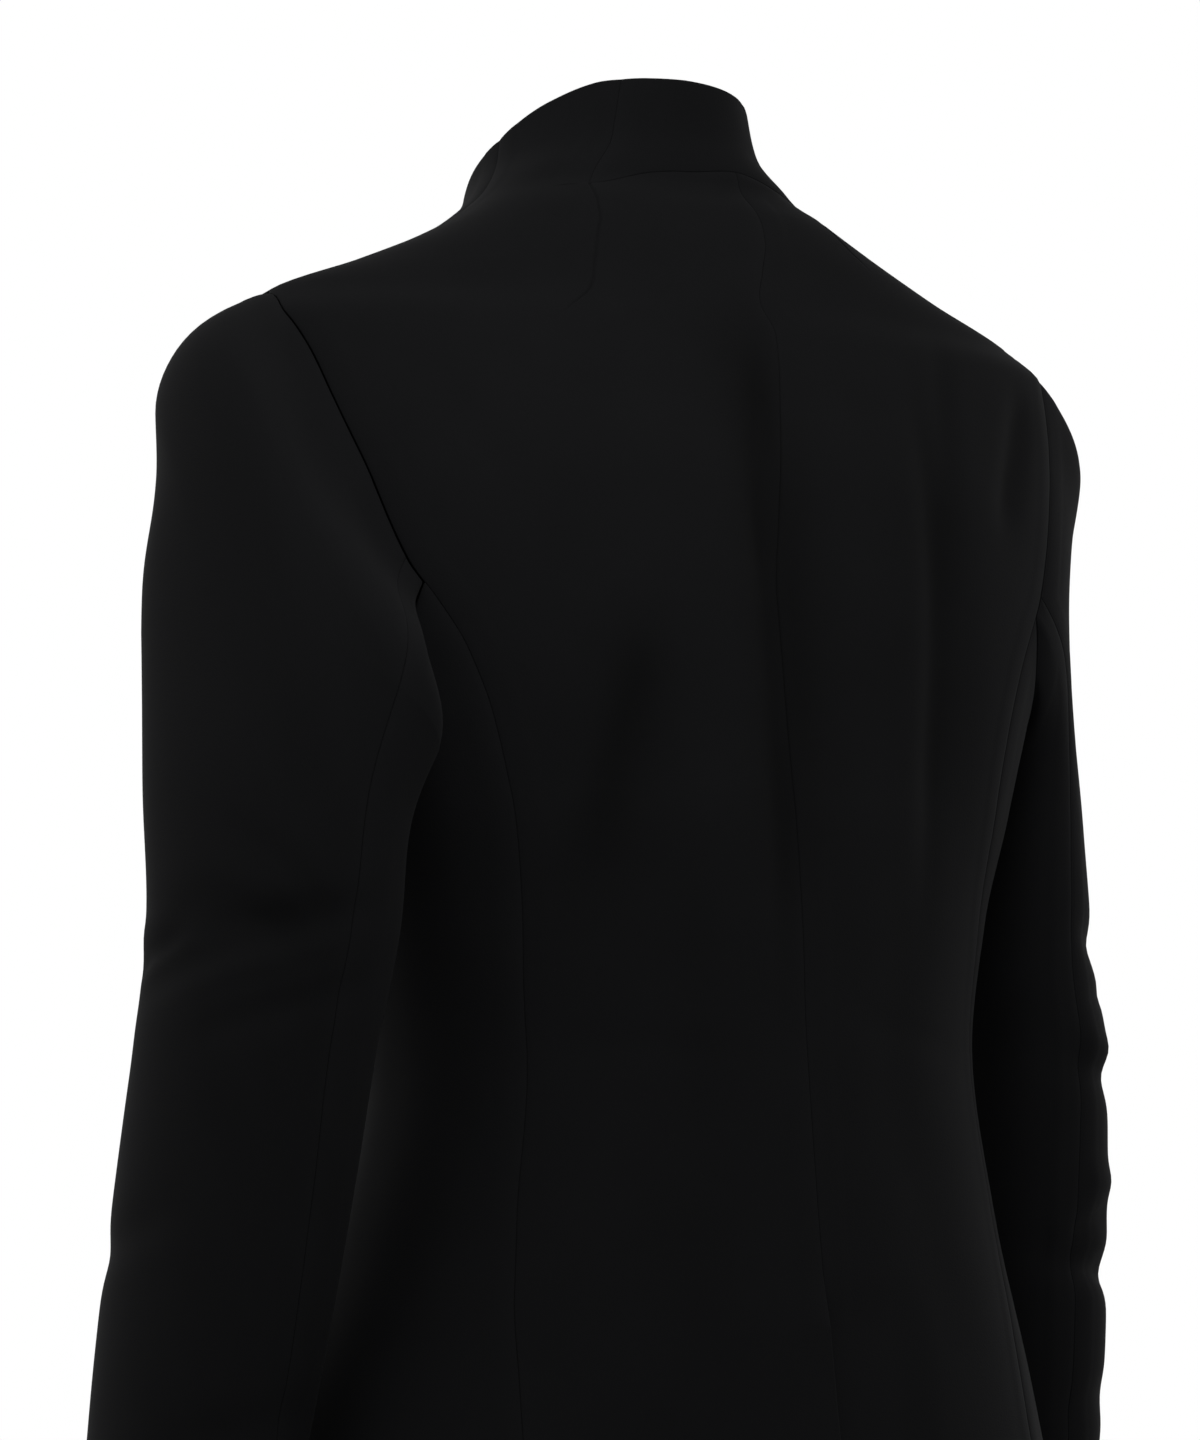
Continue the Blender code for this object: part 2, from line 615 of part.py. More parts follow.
def sleeve_grid(side):
    """Outer and inner points of a whole sleeve, and the columns of its two seams."""
    table = ARM_LEFT if side == "left" else ARM_RIGHT
    head, out, under = armhole(side)
    count = len(head)
    ahead, behind = np.roll(head, -1, axis=0), np.roll(head, 1, axis=0)
    away = unit(np.cross(unit(ahead - behind), out))
    if side == "right":
        away = -away
    step = np.linalg.norm(ahead - head, axis=-1)
    travelled = np.concatenate([[0.0], np.cumsum(step)])
    lowest = int(np.argmin(head[:, 2]))
    to_back = travelled[:count] / travelled[lowest]
    to_front = (travelled[count] - travelled[:count]) / (travelled[count] - travelled[lowest])
    share = np.clip(np.where(np.arange(count) <= lowest, to_back, to_front), 0.0, 1.0)
    turn_back = smooth_table(RUN, "turn_back", share)
    turn_front = smooth_table(RUN, "turn_front", share)
    turn = np.where(np.arange(count) <= lowest, turn_back, -turn_front)
    start = head + away * SEAM
    first = table[0].height
    target = tube_point(table, side, np.full(count, first), turn)
    below = tube_point(table, side, np.full(count, first - 0.01), turn)
    run = np.linalg.norm(target - start, axis=-1, keepdims=True)
    full = FULLNESS[side] + (1 - FULLNESS[side]) * share**3
    lift = (full * smooth_table(RUN, "lift", share))[:, None]
    leaving = smooth_table(RUN, "leaving", share)[:, None]
    landing = smooth_table(RUN, "landing", share)[:, None]
    leave = start + unit(away + lift * out) * run * leaving
    arrive = target - unit(below - target) * run * landing
    rows = []
    for t in CAP_STEPS:
        rows.append(
            (1 - t) ** 3 * start
            + 3 * (1 - t) ** 2 * t * leave
            + 3 * (1 - t) * t**2 * arrive
            + t**3 * target
        )
    for height in np.linspace(first, table[-1].height, TUBE_ROWS + 1):
        rows.append(tube_point(table, side, np.full(count, height), turn))
    outer = np.array(rows)
    facing = sleeve_normals(outer, side)
    outer = outer + facing * crease_relief(side, outer, turn)[..., None]
    return outer, outer - facing * CLOTH, under


def sleeve_normals(grid, side):
    """Outward directions of a closed tube of points."""
    around = np.roll(grid, -1, axis=1) - np.roll(grid, 1, axis=1)
    down = np.gradient(grid, axis=0)
    facing = unit(np.cross(around, down)) * (-1 if side == "left" else 1)
    for _ in range(NORMAL_PASSES):
        padded = np.concatenate([facing[:1], facing, facing[-1:]])
        facing = unit(padded[:-2] + 2 * facing + padded[2:])
    return facing


def crease_relief(side, grid, turn):
    """How far the creases move the points of a sleeve outwards."""
    table = ARM_LEFT if side == "left" else ARM_RIGHT
    total = np.zeros(grid.shape[:2])
    for crease in CREASES:
        if crease.side != side:
            continue
        round_it = np.array([(turn - crease.turn_top + 180) % 360 - 180])
        swing = crease.turn_foot - crease.turn_top
        middle = smooth_table(table[::-1], "half_depth", crease.top)
        x = np.radians(round_it) * middle
        span = math.radians(swing) * middle
        total += crease.depth * along_line(
            x, grid[..., 2], 0.0, crease.top, span, crease.foot, crease.width
        )
    fade = ease((np.arange(len(grid)) - len(CAP_STEPS)) / 2.0)
    return total * fade[:, None]


def make_sleeve(side):
    """Upper and under sleeve, parted at the back seam and the front seam."""
    outer, inner, (back_seam, front_seam) = sleeve_grid(side)
    count = outer.shape[1]
    front_seam += 1
    across_all = unit(np.roll(outer, -1, axis=1) - np.roll(outer, 1, axis=1))
    for name, first, last in (
        ("upper_sleeve_", front_seam - count, back_seam),
        ("under_sleeve_", back_seam, front_seam),
    ):
        columns = np.arange(first, last + 1) % count
        cut_outer, cut_inner = outer[:, columns].copy(), inner[:, columns].copy()
        for edge, inward in ((0, 1), (-1, -1)):
            across = across_all[:, columns[edge]] * inward * SEAM / 2
            cut_outer[:, edge] += across
            cut_inner[:, edge] += across
        shell(name + side, cut_outer, cut_inner)


# ------------------------------------------------------------------ buttons


def button_seat(x, height):
    """Where a button rests on the closed front, and which way it faces."""
    around = np.linspace(0.0, 2 * math.pi, BUTTON_SIDES, endpoint=False)
    across = np.concatenate([[0.0], np.cos(around)]) * BUTTON_RADIUS
    along = np.concatenate([[0.0], np.sin(around)]) * BUTTON_RADIUS
    turn = -math.copysign(1.0, x) * turn_at(np.abs(x + across), height + along)
    cloth = walls(turn, height + along, front_step, 1)[0]
    quarter = BUTTON_SIDES // 4
    sideways = cloth[1] - cloth[1 + 2 * quarter]
    upward = cloth[1 + quarter] - cloth[1 + 3 * quarter]
    out = unit(np.cross(sideways, upward))
    proud = ((cloth - cloth[0]) @ out).max()
    return cloth[0] + out * (proud + SEAM), out


def make_button(name, x, height):
    """A turned button with a raised rim, seated on the closed front."""
    inner_rim, crown, foot = 0.72, 0.30, 0.80
    profile = (
        (0.0, BUTTON_THICK * 0.72),
        (BUTTON_RADIUS * inner_rim, BUTTON_THICK * 0.72),
        (BUTTON_RADIUS * (1 + inner_rim) / 2, BUTTON_THICK),
        (BUTTON_RADIUS * 0.96, BUTTON_THICK * 0.86),
        (BUTTON_RADIUS, BUTTON_THICK * (1 - crown)),
        (BUTTON_RADIUS * 0.97, BUTTON_THICK * 0.18),
        (BUTTON_RADIUS * foot, 0.0),
        (0.0, 0.0),
    )
    outline = bpy.data.meshes.new(name)
    points = [(radius, 0.0, rise) for radius, rise in profile]
    edges = [(k, k + 1) for k in range(len(points) - 1)]
    outline.from_pydata(points, edges, [])
    button = finish_object(name, outline, BUTTON_COLOUR, 0.35)
    turned = button.modifiers.new("turned", "SCREW")
    turned.steps = turned.render_steps = BUTTON_SIDES
    turned.use_merge_vertices = True
    turned.merge_threshold = 0.00005
    turned.use_smooth_shade = True
    turned.use_normal_calculate = True

    seat, out = button_seat(x, height)
    sideways = unit(np.cross([0.0, 0.0, 1.0], out))
    upward = np.cross(out, sideways)
    turned_to = Matrix([sideways, upward, out]).transposed().to_4x4()
    button.matrix_world = Matrix.Translation(seat) @ turned_to
    return button


def build():
    """Empty the scene, then make every piece of the jacket."""
    for leftover in list(bpy.data.objects):
        bpy.data.objects.remove(leftover, do_unlink=True)
    jacket = bpy.data.collections.new("Double_breasted_suit_jacket")
    bpy.context.scene.collection.children.link(jacket)
    make_collar_back()
    for side in ("left", "right"):
        make_back(side)
        make_side(side)
        make_front(side)
        make_sleeve(side)
    count = 0
    for row in range(BUTTON_ROWS):
        for x in (-BUTTON_COLUMN, BUTTON_COLUMN):
            count += 1
            make_button("button_%d" % count, x, BUTTON_TOP - row * BUTTON_STEP)


if __name__ == "__main__":
    build()
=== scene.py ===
# %% [markdown]
# # A black double-breasted jacket, worn and hollow
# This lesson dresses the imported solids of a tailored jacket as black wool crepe. The solids
# are the frame: they are plain, coarse walls of cloth in metres, with +Z up and the wearer
# facing -Y. Every visible piece made here replaces one of them in the same place.
#
# The order is: the frame and the camera, the jacket's measures, its surface, the cloth pieces,
# the materials, the buttons and their sewing, then the light and the declarations.

import math
from collections import namedtuple

import bpy
import numpy as np
from mathutils import Matrix, Vector


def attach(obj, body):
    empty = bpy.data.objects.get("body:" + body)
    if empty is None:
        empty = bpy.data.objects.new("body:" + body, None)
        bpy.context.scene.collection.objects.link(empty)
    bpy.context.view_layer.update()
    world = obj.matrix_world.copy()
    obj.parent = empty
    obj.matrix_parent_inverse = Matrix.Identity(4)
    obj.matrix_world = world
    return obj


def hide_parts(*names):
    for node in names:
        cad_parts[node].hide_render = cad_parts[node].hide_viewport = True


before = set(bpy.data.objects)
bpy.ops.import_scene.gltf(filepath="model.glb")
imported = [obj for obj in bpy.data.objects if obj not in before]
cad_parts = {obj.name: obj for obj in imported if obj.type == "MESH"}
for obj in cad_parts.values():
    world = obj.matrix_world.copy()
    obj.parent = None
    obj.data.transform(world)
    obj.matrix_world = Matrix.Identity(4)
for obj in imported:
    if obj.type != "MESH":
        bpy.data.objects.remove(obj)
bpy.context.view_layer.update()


def new_object(name, data):
    """An object in the scene's own collection."""
    thing = bpy.data.objects.new(name, data)
    bpy.context.scene.collection.objects.link(thing)
    return thing


# %% [markdown]
# ## The camera
# The picture was taken from behind the wearer's left shoulder and from below, with a long
# lens, so the upright lines hardly converge. The camera is placed by angles around a target
# on the back, and a small roll finishes the match.

# %% The camera
TURN_FROM_BACK = math.radians(33.2)   # towards the wearer's left
LOOK_UP = math.radians(9.6)
ROLL = math.radians(-3.9)
DISTANCE = 2.06
LENS_PIXELS = 4445
IMAGE_WIDTH = 1200
SENSOR_MM = 36.0
TARGET = Vector((0.039, 0.0, -0.240))

towards_camera = Vector(
    (
        math.sin(TURN_FROM_BACK) * math.cos(LOOK_UP),
        math.cos(TURN_FROM_BACK) * math.cos(LOOK_UP),
        -math.sin(LOOK_UP),
    )
)
rightwards = (-towards_camera).cross(Vector((0, 0, 1))).normalized()
upwards = rightwards.cross(-towards_camera)
across = rightwards * math.cos(ROLL) + upwards * math.sin(ROLL)
upright = upwards * math.cos(ROLL) - rightwards * math.sin(ROLL)
camera_data = bpy.data.cameras.new("camera")
camera_data.sensor_fit = "HORIZONTAL"
camera_data.sensor_width = SENSOR_MM
camera_data.lens = LENS_PIXELS / IMAGE_WIDTH * SENSOR_MM
camera = new_object("camera", camera_data)
camera.matrix_world = (
    Matrix.Translation(TARGET + towards_camera * DISTANCE)
    @ Matrix([across, upright, towards_camera]).transposed().to_4x4()
)
bpy.context.scene.camera = camera
print("camera at", [round(v, 3) for v in camera.location], "lens", round(camera_data.lens, 1))

# %% [markdown]
# ## The jacket's measures
# The jacket is drafted like a pattern on a dress stand: a row of horizontal sections gives
# the body's girth at each height, and a few short tables say where the seams, the armhole
# and the neckline run on it. The solids were cut from the same tables. A few rows are finer
# here, by some millimetres: the underarm, the centre seam, the collar and the sleeve head.
# A turn of 0 is the centre back, 90 the wearer's left side and 180 the centre front.

# %% Measures of the body
def table(columns, *rows):
    """A short table whose rows are read by the names of its columns."""
    row_of = namedtuple("Row", columns)
    return tuple(row_of(*row) for row in rows)


CLOTH = 0.0020            # thickness of the wool with its interlining
HEM = -0.690
VENT_TOP = -0.530
SHOULDER = -0.053         # shoulder seam at the sleeve head
NAPE = 0.018              # top of the centre back seam
BREAK = -0.215            # lowest point of the V neckline
OVERLAP = 0.075           # front edge past the centre front
LAYER = 0.0023            # half the step between two layers that lie on each other
VENT_LAP = 0.036          # width of the underlap at the vent
EDGE_EASE = 0.030         # width over which a layer rises or sinks
LAP_TOP = -0.060          # above this the fronts part and lie in one surface
LAP_EASE = 0.045          # height over which they settle on each other
VENT_EASE = 0.030         # the same at the top of the vent

TORSO = table(
    "height half_width back front side_line back_square front_square",
    (-0.690, 0.203, 0.099, -0.158, -0.046, 2.10, 2.60),
    (-0.550, 0.183, 0.091, -0.147, -0.042, 2.10, 2.60),
    (-0.474, 0.162, 0.090, -0.134, -0.031, 2.15, 2.55),
    (-0.400, 0.148, 0.091, -0.124, -0.016, 2.20, 2.45),
    (-0.340, 0.157, 0.097, -0.124, -0.006, 2.20, 2.35),
    (-0.289, 0.172, 0.101, -0.126, 0.000, 2.30, 2.30),
    (-0.208, 0.197, 0.101, -0.121, 0.009, 2.40, 2.30),
    (-0.150, 0.213, 0.096, -0.109, 0.012, 2.40, 2.30),
    (-0.100, 0.222, 0.085, -0.095, 0.011, 2.35, 2.20),
    (-0.070, 0.223, 0.078, -0.084, 0.010, 2.20, 2.00),
    (-0.053, 0.209, 0.073, -0.078, 0.009, 1.90, 1.80),
    (-0.035, 0.164, 0.067, -0.075, 0.007, 2.25, 1.90),
    (-0.020, 0.129, 0.062, -0.076, 0.004, 2.70, 2.00),
    (-0.005, 0.102, 0.056, -0.080, 0.000, 3.00, 2.00),
    (0.012, 0.081, 0.046, -0.087, -0.004, 2.90, 2.00),
    (0.030, 0.069, 0.046, -0.096, -0.010, 2.30, 2.10),
    (0.058, 0.063, 0.051, -0.103, -0.014, 2.10, 2.10),
)

# The side edge of a back: seam to the side panel, armhole, then shoulder seam
BACK_EDGE = table(
    "height turn",
    (-0.690, 44.0), (-0.600, 45.5), (-0.545, 47.5), (-0.506, 50.5), (-0.450, 53.0),
    (-0.387, 54.0), (-0.335, 51.5), (-0.288, 48.5), (-0.254, 48.0), (-0.225, 49.5),
    (-0.203, 53.0), (-0.186, 56.5), (-0.139, 60.0), (-0.096, 64.5), (-0.075, 69.0),
    (-0.064, 73.5), (-0.057, 79.0), (-0.054, 84.5), (-0.053, 90.0), (0.058, 90.0),
)
BACK_CORNER = -0.195      # where the seam to the side panel meets the armhole

# The centre back seam. The upper body is turned a little, so the seam runs off to the
# wearer's right towards the neck
CENTRE = table(
    "height turn",
    (-0.690, 0.0), (-0.200, 0.0), (-0.161, -0.8), (-0.114, -2.4), (-0.080, -4.0),
    (-0.050, -5.9), (-0.020, -8.6), (0.003, -11.8), (0.018, -16.0),
)

# The seam at the foot of the short back collar
NECK_SEAM = table(
    "turn height",
    (-90.0, -0.002), (-62.0, 0.003), (-38.0, 0.013), (-16.0, 0.018), (6.0, 0.013),
    (28.0, 0.004), (90.0, -0.002),
)

# The side edge of a front, in the same order
FRONT_EDGE = table(
    "height turn",
    (-0.690, 112.0), (-0.400, 112.0), (-0.300, 113.0), (-0.240, 115.0), (-0.210, 118.0),
    (-0.190, 123.0), (-0.165, 128.0), (-0.130, 130.0), (-0.096, 124.5), (-0.075, 117.0),
    (-0.064, 110.5), (-0.057, 103.0), (-0.054, 96.0), (-0.053, 90.0), (0.058, 90.0),
)
FRONT_CORNER = -0.210

# The armhole along the top of a side panel
SCYE = table(
    "turn height",
    (54.6, -0.195), (65.0, -0.223), (84.0, -0.238), (102.0, -0.232), (118.0, -0.210),
)

# Free edge of the collar, from centre back to the shoulder seam, then down the V of a front
RIM = table(
    "turn height",
    (0.0, 0.058), (35.0, 0.057), (60.0, 0.051), (90.0, 0.040),
)
NECKLINE = table(
    "turn height",
    (90.0, 0.040), (108.0, 0.032), (122.0, 0.020), (142.0, -0.010), (162.0, -0.047),
    (172.6, -0.082), (180.0, -0.122), (186.3, -0.160), (199.6, -0.215),
)

# Soft relief of the body, in metres out from the plain ring. A row is a ridge or, with a
# minus, a trough that runs from its top to its foot. Widths are half of what shows.
FOLD_COLUMNS = "where x_top top x_foot foot width depth"
FOLDS = table(
    FOLD_COLUMNS,
    ("back", 0.000, -0.080, 0.000, -0.330, 0.022, -0.0060),
    ("back", 0.085, -0.110, 0.080, -0.260, 0.050, 0.0030),
    ("back", -0.085, -0.110, -0.080, -0.260, 0.050, 0.0030),
    ("back", 0.074, -0.220, 0.094, -0.350, 0.020, -0.0030),
    ("back", -0.096, -0.110, -0.090, -0.310, 0.020, -0.0030),
    ("front", 0.086, -0.215, 0.086, -0.300, 0.066, 0.0090),
    ("front", -0.086, -0.215, -0.086, -0.300, 0.066, 0.0090),
    ("front", 0.095, -0.320, 0.085, -0.470, 0.022, -0.0030),
    ("front", -0.095, -0.320, -0.085, -0.470, 0.022, -0.0030),
)

# Sleeves: sections of the tube below the armhole, for the wearer's left and right arm.
# out and back place the middle, toe turns the front end outwards, tilt lifts the outer side,
# pitch the front, and swing draws the two seams towards the body.
ARM_COLUMNS = "height out back half_width half_depth toe tilt pitch swing"
ARM_LEFT = table(
    ARM_COLUMNS,
    (-0.240, 0.2250, 0.039, 0.0370, 0.077, 20, 42, 0, 4),
    (-0.290, 0.2280, 0.027, 0.0400, 0.069, 18, 22, 2, 6),
    (-0.340, 0.2255, 0.014, 0.0430, 0.065, 15, 8, 6, 8),
    (-0.390, 0.2265, -0.006, 0.0440, 0.061, 13, 2, 12, 10),
    (-0.440, 0.2275, -0.026, 0.0440, 0.060, 12, 0, 16, 14),
    (-0.527, 0.2300, -0.060, 0.0420, 0.058, 10, 0, 18, 20),
    (-0.635, 0.2320, -0.103, 0.0370, 0.051, 8, 0, 18, 24),
)
ARM_RIGHT = table(
    ARM_COLUMNS,
    (-0.240, 0.2120, -0.028, 0.0290, 0.066, 10, 42, 0, 4),
    (-0.290, 0.2138, -0.035, 0.0370, 0.065, 12, 22, 2, 6),
    (-0.344, 0.2138, -0.040, 0.0420, 0.063, 13, 8, 6, 8),
    (-0.390, 0.2211, -0.046, 0.0440, 0.061, 13, 2, 10, 10),
    (-0.449, 0.2225, -0.055, 0.0440, 0.058, 12, 0, 14, 14),
    (-0.564, 0.2280, -0.076, 0.0405, 0.051, 10, 0, 16, 20),
    (-0.635, 0.2310, -0.098, 0.0365, 0.046, 8, 0, 16, 24),
)

# How a point of the armhole runs on into the tube: its share of the way from the sleeve head
# to the underarm, the turn that it reaches around the tube (0 outside, 90 at the back or
# front), how far it leaves the body's slope, and the lengths of the first and the last handle
# of its curve as shares of the run
RUN = table(
    "share turn_back turn_front lift leaving landing",
    (0.00, 0.0, 0.0, 0.46, 0.52, 0.60), (0.20, 18.0, 25.0, 0.56, 0.54, 0.56),
    (0.40, 34.0, 50.0, 0.62, 0.48, 0.56), (0.58, 55.0, 92.0, 0.80, 0.38, 0.50),
    (0.70, 75.0, 115.0, 2.10, 0.32, 0.42), (0.82, 104.0, 140.0, 2.60, 0.30, 0.36),
    (1.00, 180.0, 180.0, 4.00, 0.28, 0.28),
)
FULLNESS = {"left": 1.00, "right": 0.25}    # how far the sleeve head stands out

# Creases of the sleeves, as the folds above, placed by height and turn around the tube
CREASE_COLUMNS = "side turn_top top turn_foot foot width depth"
CREASES = table(
    CREASE_COLUMNS,
    ("left", -20, -0.330, 60, -0.352, 0.010, -0.0035),
    ("left", -30, -0.362, 75, -0.340, 0.009, -0.0030),
    ("left", 10, -0.385, 80, -0.372, 0.009, -0.0025),
    ("left", -60, -0.480, 10, -0.462, 0.011, -0.0020),
    ("left", -120, -0.352, -60, -0.366, 0.010, -0.0045),
    ("left", -125, -0.384, -55, -0.394, 0.009, -0.0035),
    ("left", 20, -0.560, 90, -0.545, 0.010, -0.0020),
    ("right", -20, -0.352, 60, -0.340, 0.010, -0.0030),
    ("right", 0, -0.412, 85, -0.400, 0.011, -0.0035),
    ("right", 10, -0.505, 90, -0.494, 0.010, -0.0050),
    ("right", -120, -0.350, -60, -0.362, 0.010, -0.0045),
    ("right", -125, -0.384, -55, -0.392, 0.009, -0.0035),
    ("right", -70, -0.470, 0, -0.455, 0.011, -0.0020),
    ("right", 20, -0.560, 80, -0.572, 0.010, -0.0025),
)

# %% [markdown]
# ### Finer measures
# The solids carry only the large folds. The shallow ones, the neck darts and the wrinkles at the
# elbows are added here, in tables of the same form. The similar ones on the sides that the picture
# hides are given the same way, a little differently.

# %% Finer measures
DART = table(
    "level left right",
    (-0.690, 19.0, 21.0), (-0.150, 22.0, 28.0), (-0.072, 22.0, 34.0), (-0.044, 21.0, 36.0),
    (-0.015, 20.5, 38.0), (-0.001, 22.5, 43.0), (0.018, 28.5, 55.0),
)
DART_FOOT = {"left": -0.074, "right": -0.030}
SEAM_BACK = -0.184        # heights where the sleeve's seams leave the armhole
SEAM_FRONT = -0.190
FINE_FOLDS = table(
    FOLD_COLUMNS,
    ("back", 0.060, -0.300, 0.050, -0.440, 0.014, -0.0012),
    ("back", -0.060, -0.330, -0.048, -0.450, 0.016, -0.0012),
    ("back", -0.010, -0.075, 0.006, -0.190, 0.008, -0.0036),
    ("back", 0.005, -0.150, 0.010, -0.370, 0.008, -0.0030),
    ("back", -0.014, -0.110, -0.008, -0.340, 0.009, 0.0012),
    ("back", 0.076, -0.225, 0.106, -0.330, 0.011, -0.0030),
    ("back", 0.092, -0.215, 0.122, -0.320, 0.011, 0.0012),
    ("back", -0.099, -0.105, -0.075, -0.330, 0.009, -0.0024),
    ("back", -0.084, -0.110, -0.062, -0.300, 0.012, 0.0008),
    ("back", -0.123, -0.070, -0.096, -0.190, 0.008, -0.0020),
    ("back", -0.180, -0.085, -0.143, -0.155, 0.009, -0.0035),
    ("back", 0.158, -0.090, 0.128, -0.150, 0.012, -0.0010),
    ("back", 0.084, -0.455, 0.058, -0.560, 0.020, -0.0010),
    ("back", -0.052, -0.420, -0.080, -0.540, 0.018, -0.0010),
    ("back", 0.030, -0.405, 0.110, -0.395, 0.008, -0.0007),
    ("back", -0.025, -0.388, -0.100, -0.402, 0.008, -0.0007),
    ("front", 0.060, -0.330, 0.140, -0.345, 0.012, -0.0010),
    ("front", -0.050, -0.345, -0.135, -0.330, 0.012, -0.0010),
    ("front", 0.120, -0.110, 0.098, -0.210, 0.011, -0.0014),
    ("front", -0.118, -0.105, -0.100, -0.200, 0.012, -0.0012),
    ("front", 0.090, -0.470, 0.110, -0.600, 0.018, -0.0012),
    ("front", -0.095, -0.480, -0.108, -0.610, 0.018, -0.0012),
)
FINE_CREASES = table(
    CREASE_COLUMNS,
    ("left", 12, -0.300, 60, -0.348, 0.007, -0.0016),
    ("left", 2, -0.322, 52, -0.366, 0.006, -0.0014),
    ("left", -10, -0.345, 50, -0.338, 0.005, -0.0010),
    ("left", 5, -0.372, 70, -0.360, 0.005, -0.0012),
    ("left", -45, -0.352, -8, -0.344, 0.005, -0.0024),
    ("left", -50, -0.340, -10, -0.331, 0.006, 0.0008),
    ("left", 18, -0.410, 60, -0.470, 0.010, -0.0010),
    ("left", -20, -0.540, 40, -0.560, 0.012, -0.0012),
    ("left", 86, -0.300, 84, -0.560, 0.004, 0.0006),
    ("left", 35, -0.250, 44, -0.300, 0.009, -0.0010),
    ("right", 30, -0.474, 70, -0.484, 0.007, -0.0030),
    ("right", 30, -0.398, 66, -0.394, 0.009, 0.0030),
    ("right", 24, -0.458, 60, -0.460, 0.008, 0.0022),
    ("right", 26, -0.500, 66, -0.506, 0.006, -0.0020),
    ("right", -5, -0.365, 60, -0.372, 0.005, -0.0010),
    ("right", -40, -0.350, 0, -0.342, 0.006, -0.0018),
    ("right", 84, -0.300, 82, -0.560, 0.004, 0.0006),
)

# %% [markdown]
# ## Reading the tables
# A table is read between its rows with a curve that never overshoots. Straight lines
# between rows would leave rings around the body, and a freer curve would wave.


# %% Reading the tables
def smooth_table(rows, column, keys):
    """Read one named column of a table at any key, smoothly and without overshoot."""
    at = np.array([row[0] for row in rows], float)
    value = np.array([getattr(row, column) for row in rows], float)
    step = np.diff(at)
    slope = np.diff(value) / step
    tangent = np.zeros(len(at))
    tangent[0], tangent[-1] = slope[0], slope[-1]
    same = slope[:-1] * slope[1:] > 0
    below = (2 * step[1:] + step[:-1])[same] / slope[:-1][same]
    above = (step[1:] + 2 * step[:-1])[same] / slope[1:][same]
    tangent[1:-1][same] = 3 * (step[:-1] + step[1:])[same] / (below + above)
    keys = np.clip(np.asarray(keys, float), at[0], at[-1])
    k = np.clip(np.searchsorted(at, keys, side="right") - 1, 0, len(step) - 1)
    t = (keys - at[k]) / step[k]
    return (
        (2 * t**3 - 3 * t**2 + 1) * value[k]
        + (t**3 - 2 * t**2 + t) * step[k] * tangent[k]
        + (3 * t**2 - 2 * t**3) * value[k + 1]
        + (t**3 - t**2) * step[k] * tangent[k + 1]
    )


def ease(t):
    """0 before 0, 1 after 1, and a soft S between them."""
    t = np.clip(t, 0.0, 1.0)
    return t * t * (3 - 2 * t)


def unit(vectors):
    """Vectors of length one."""
    length = np.linalg.norm(vectors, axis=-1, keepdims=True)
    return vectors / np.maximum(length, 1e-12)


waist = float(smooth_table(TORSO, "half_width", -0.400))
print("half width at the waist:", round(waist, 3))

# %% [markdown]
# ## The body's surface
# One ring is a squared ellipse: fuller than an ellipse across the shoulder blades and
# rounder at the waist. Its front and back halves have their own depth and squareness.
# Folds are added along the outward direction, as soft lines with a place, a width and a depth,
# because the folds of worn cloth are uneven and never repeat.


# %% The body's surface
DEEP = 0.006              # a trough this deep gets the full painted shade
TURN_STEP = 0.6           # steps over which the slope of the surface is taken
HEIGHT_STEP = 0.002
SEAM_SEEN = 0.00001       # gap between two finished pieces, too narrow to let light through


def ring(turn, height):
    """Points of the plain torso at a turn in degrees and a height."""
    turn, height = np.broadcast_arrays(np.radians(turn), np.asarray(height, float))
    value = {name: smooth_table(TORSO, name, height) for name in TORSO[0]._fields[1:]}
    behind = np.cos(turn) > 0
    square = np.where(behind, value["back_square"], value["front_square"])
    reach = np.where(behind, value["back"], value["front"]) - value["side_line"]
    x = value["half_width"] * np.abs(np.sin(turn)) ** (2 / square) * np.sign(np.sin(turn))
    y = value["side_line"] + reach * np.abs(np.cos(turn)) ** (2 / square)
    return np.stack([x, y, height], axis=-1)


def normal(turn, height):
    """Outward direction of the plain torso."""
    around = ring(turn + TURN_STEP, height) - ring(turn - TURN_STEP, height)
    upward = ring(turn, height + HEIGHT_STEP) - ring(turn, height - HEIGHT_STEP)
    return unit(np.cross(upward, around))


def along_line(x, height, x_top, top, x_foot, foot, width):
    """Weight of a soft line: 1 on it, fading to its sides and towards its two ends."""
    way = np.array([x_foot - x_top, foot - top])
    length = math.hypot(*way)
    along = ((x - x_top) * way[0] + (height - top) * way[1]) / length**2
    aside = ((x - x_top) * way[1] - (height - top) * way[0]) / length
    return np.exp(-((aside / width) ** 2)) * np.exp(-((2.0 * (along - 0.5)) ** 4))


def relief(point, height, troughs_only=False):
    """How far the folds move a point of the torso outwards."""
    x, behind = point[..., 0], point[..., 1] > smooth_table(TORSO, "side_line", height)
    total = np.zeros(x.shape)
    for fold in FOLDS + FINE_FOLDS:
        if fold.depth < 0 or not troughs_only:
            here = behind if fold.where == "back" else ~behind
            total += here * fold.depth * along_line(x, height, *fold[1:6])
    return total


def hollows(point, height):
    """How deep each point lies in a soft trough, from 0 to 1: the mask of the painted shade in the
    folds.
    """
    return np.clip(-relief(point, height, troughs_only=True) / DEEP, 0.0, 1.0)


def turn_at(x, height):
    """Turn past the centre front where the surface reaches x, for a left front."""
    width = smooth_table(TORSO, "half_width", height)
    square = smooth_table(TORSO, "front_square", height)
    share = np.clip(x / width, 0.0, 0.98)
    return 180.0 + np.degrees(np.arcsin(share ** (square / 2)))


def half_seam(turn, height):
    """Half of the seam's gap, in degrees of turn."""
    span = np.linalg.norm(ring(turn + 0.5, height) - ring(turn - 0.5, height), axis=-1)
    return SEAM_SEEN / 2 / np.maximum(span, 1e-6)


print("centre back at the waist:", ring(0.0, -0.400).round(3))

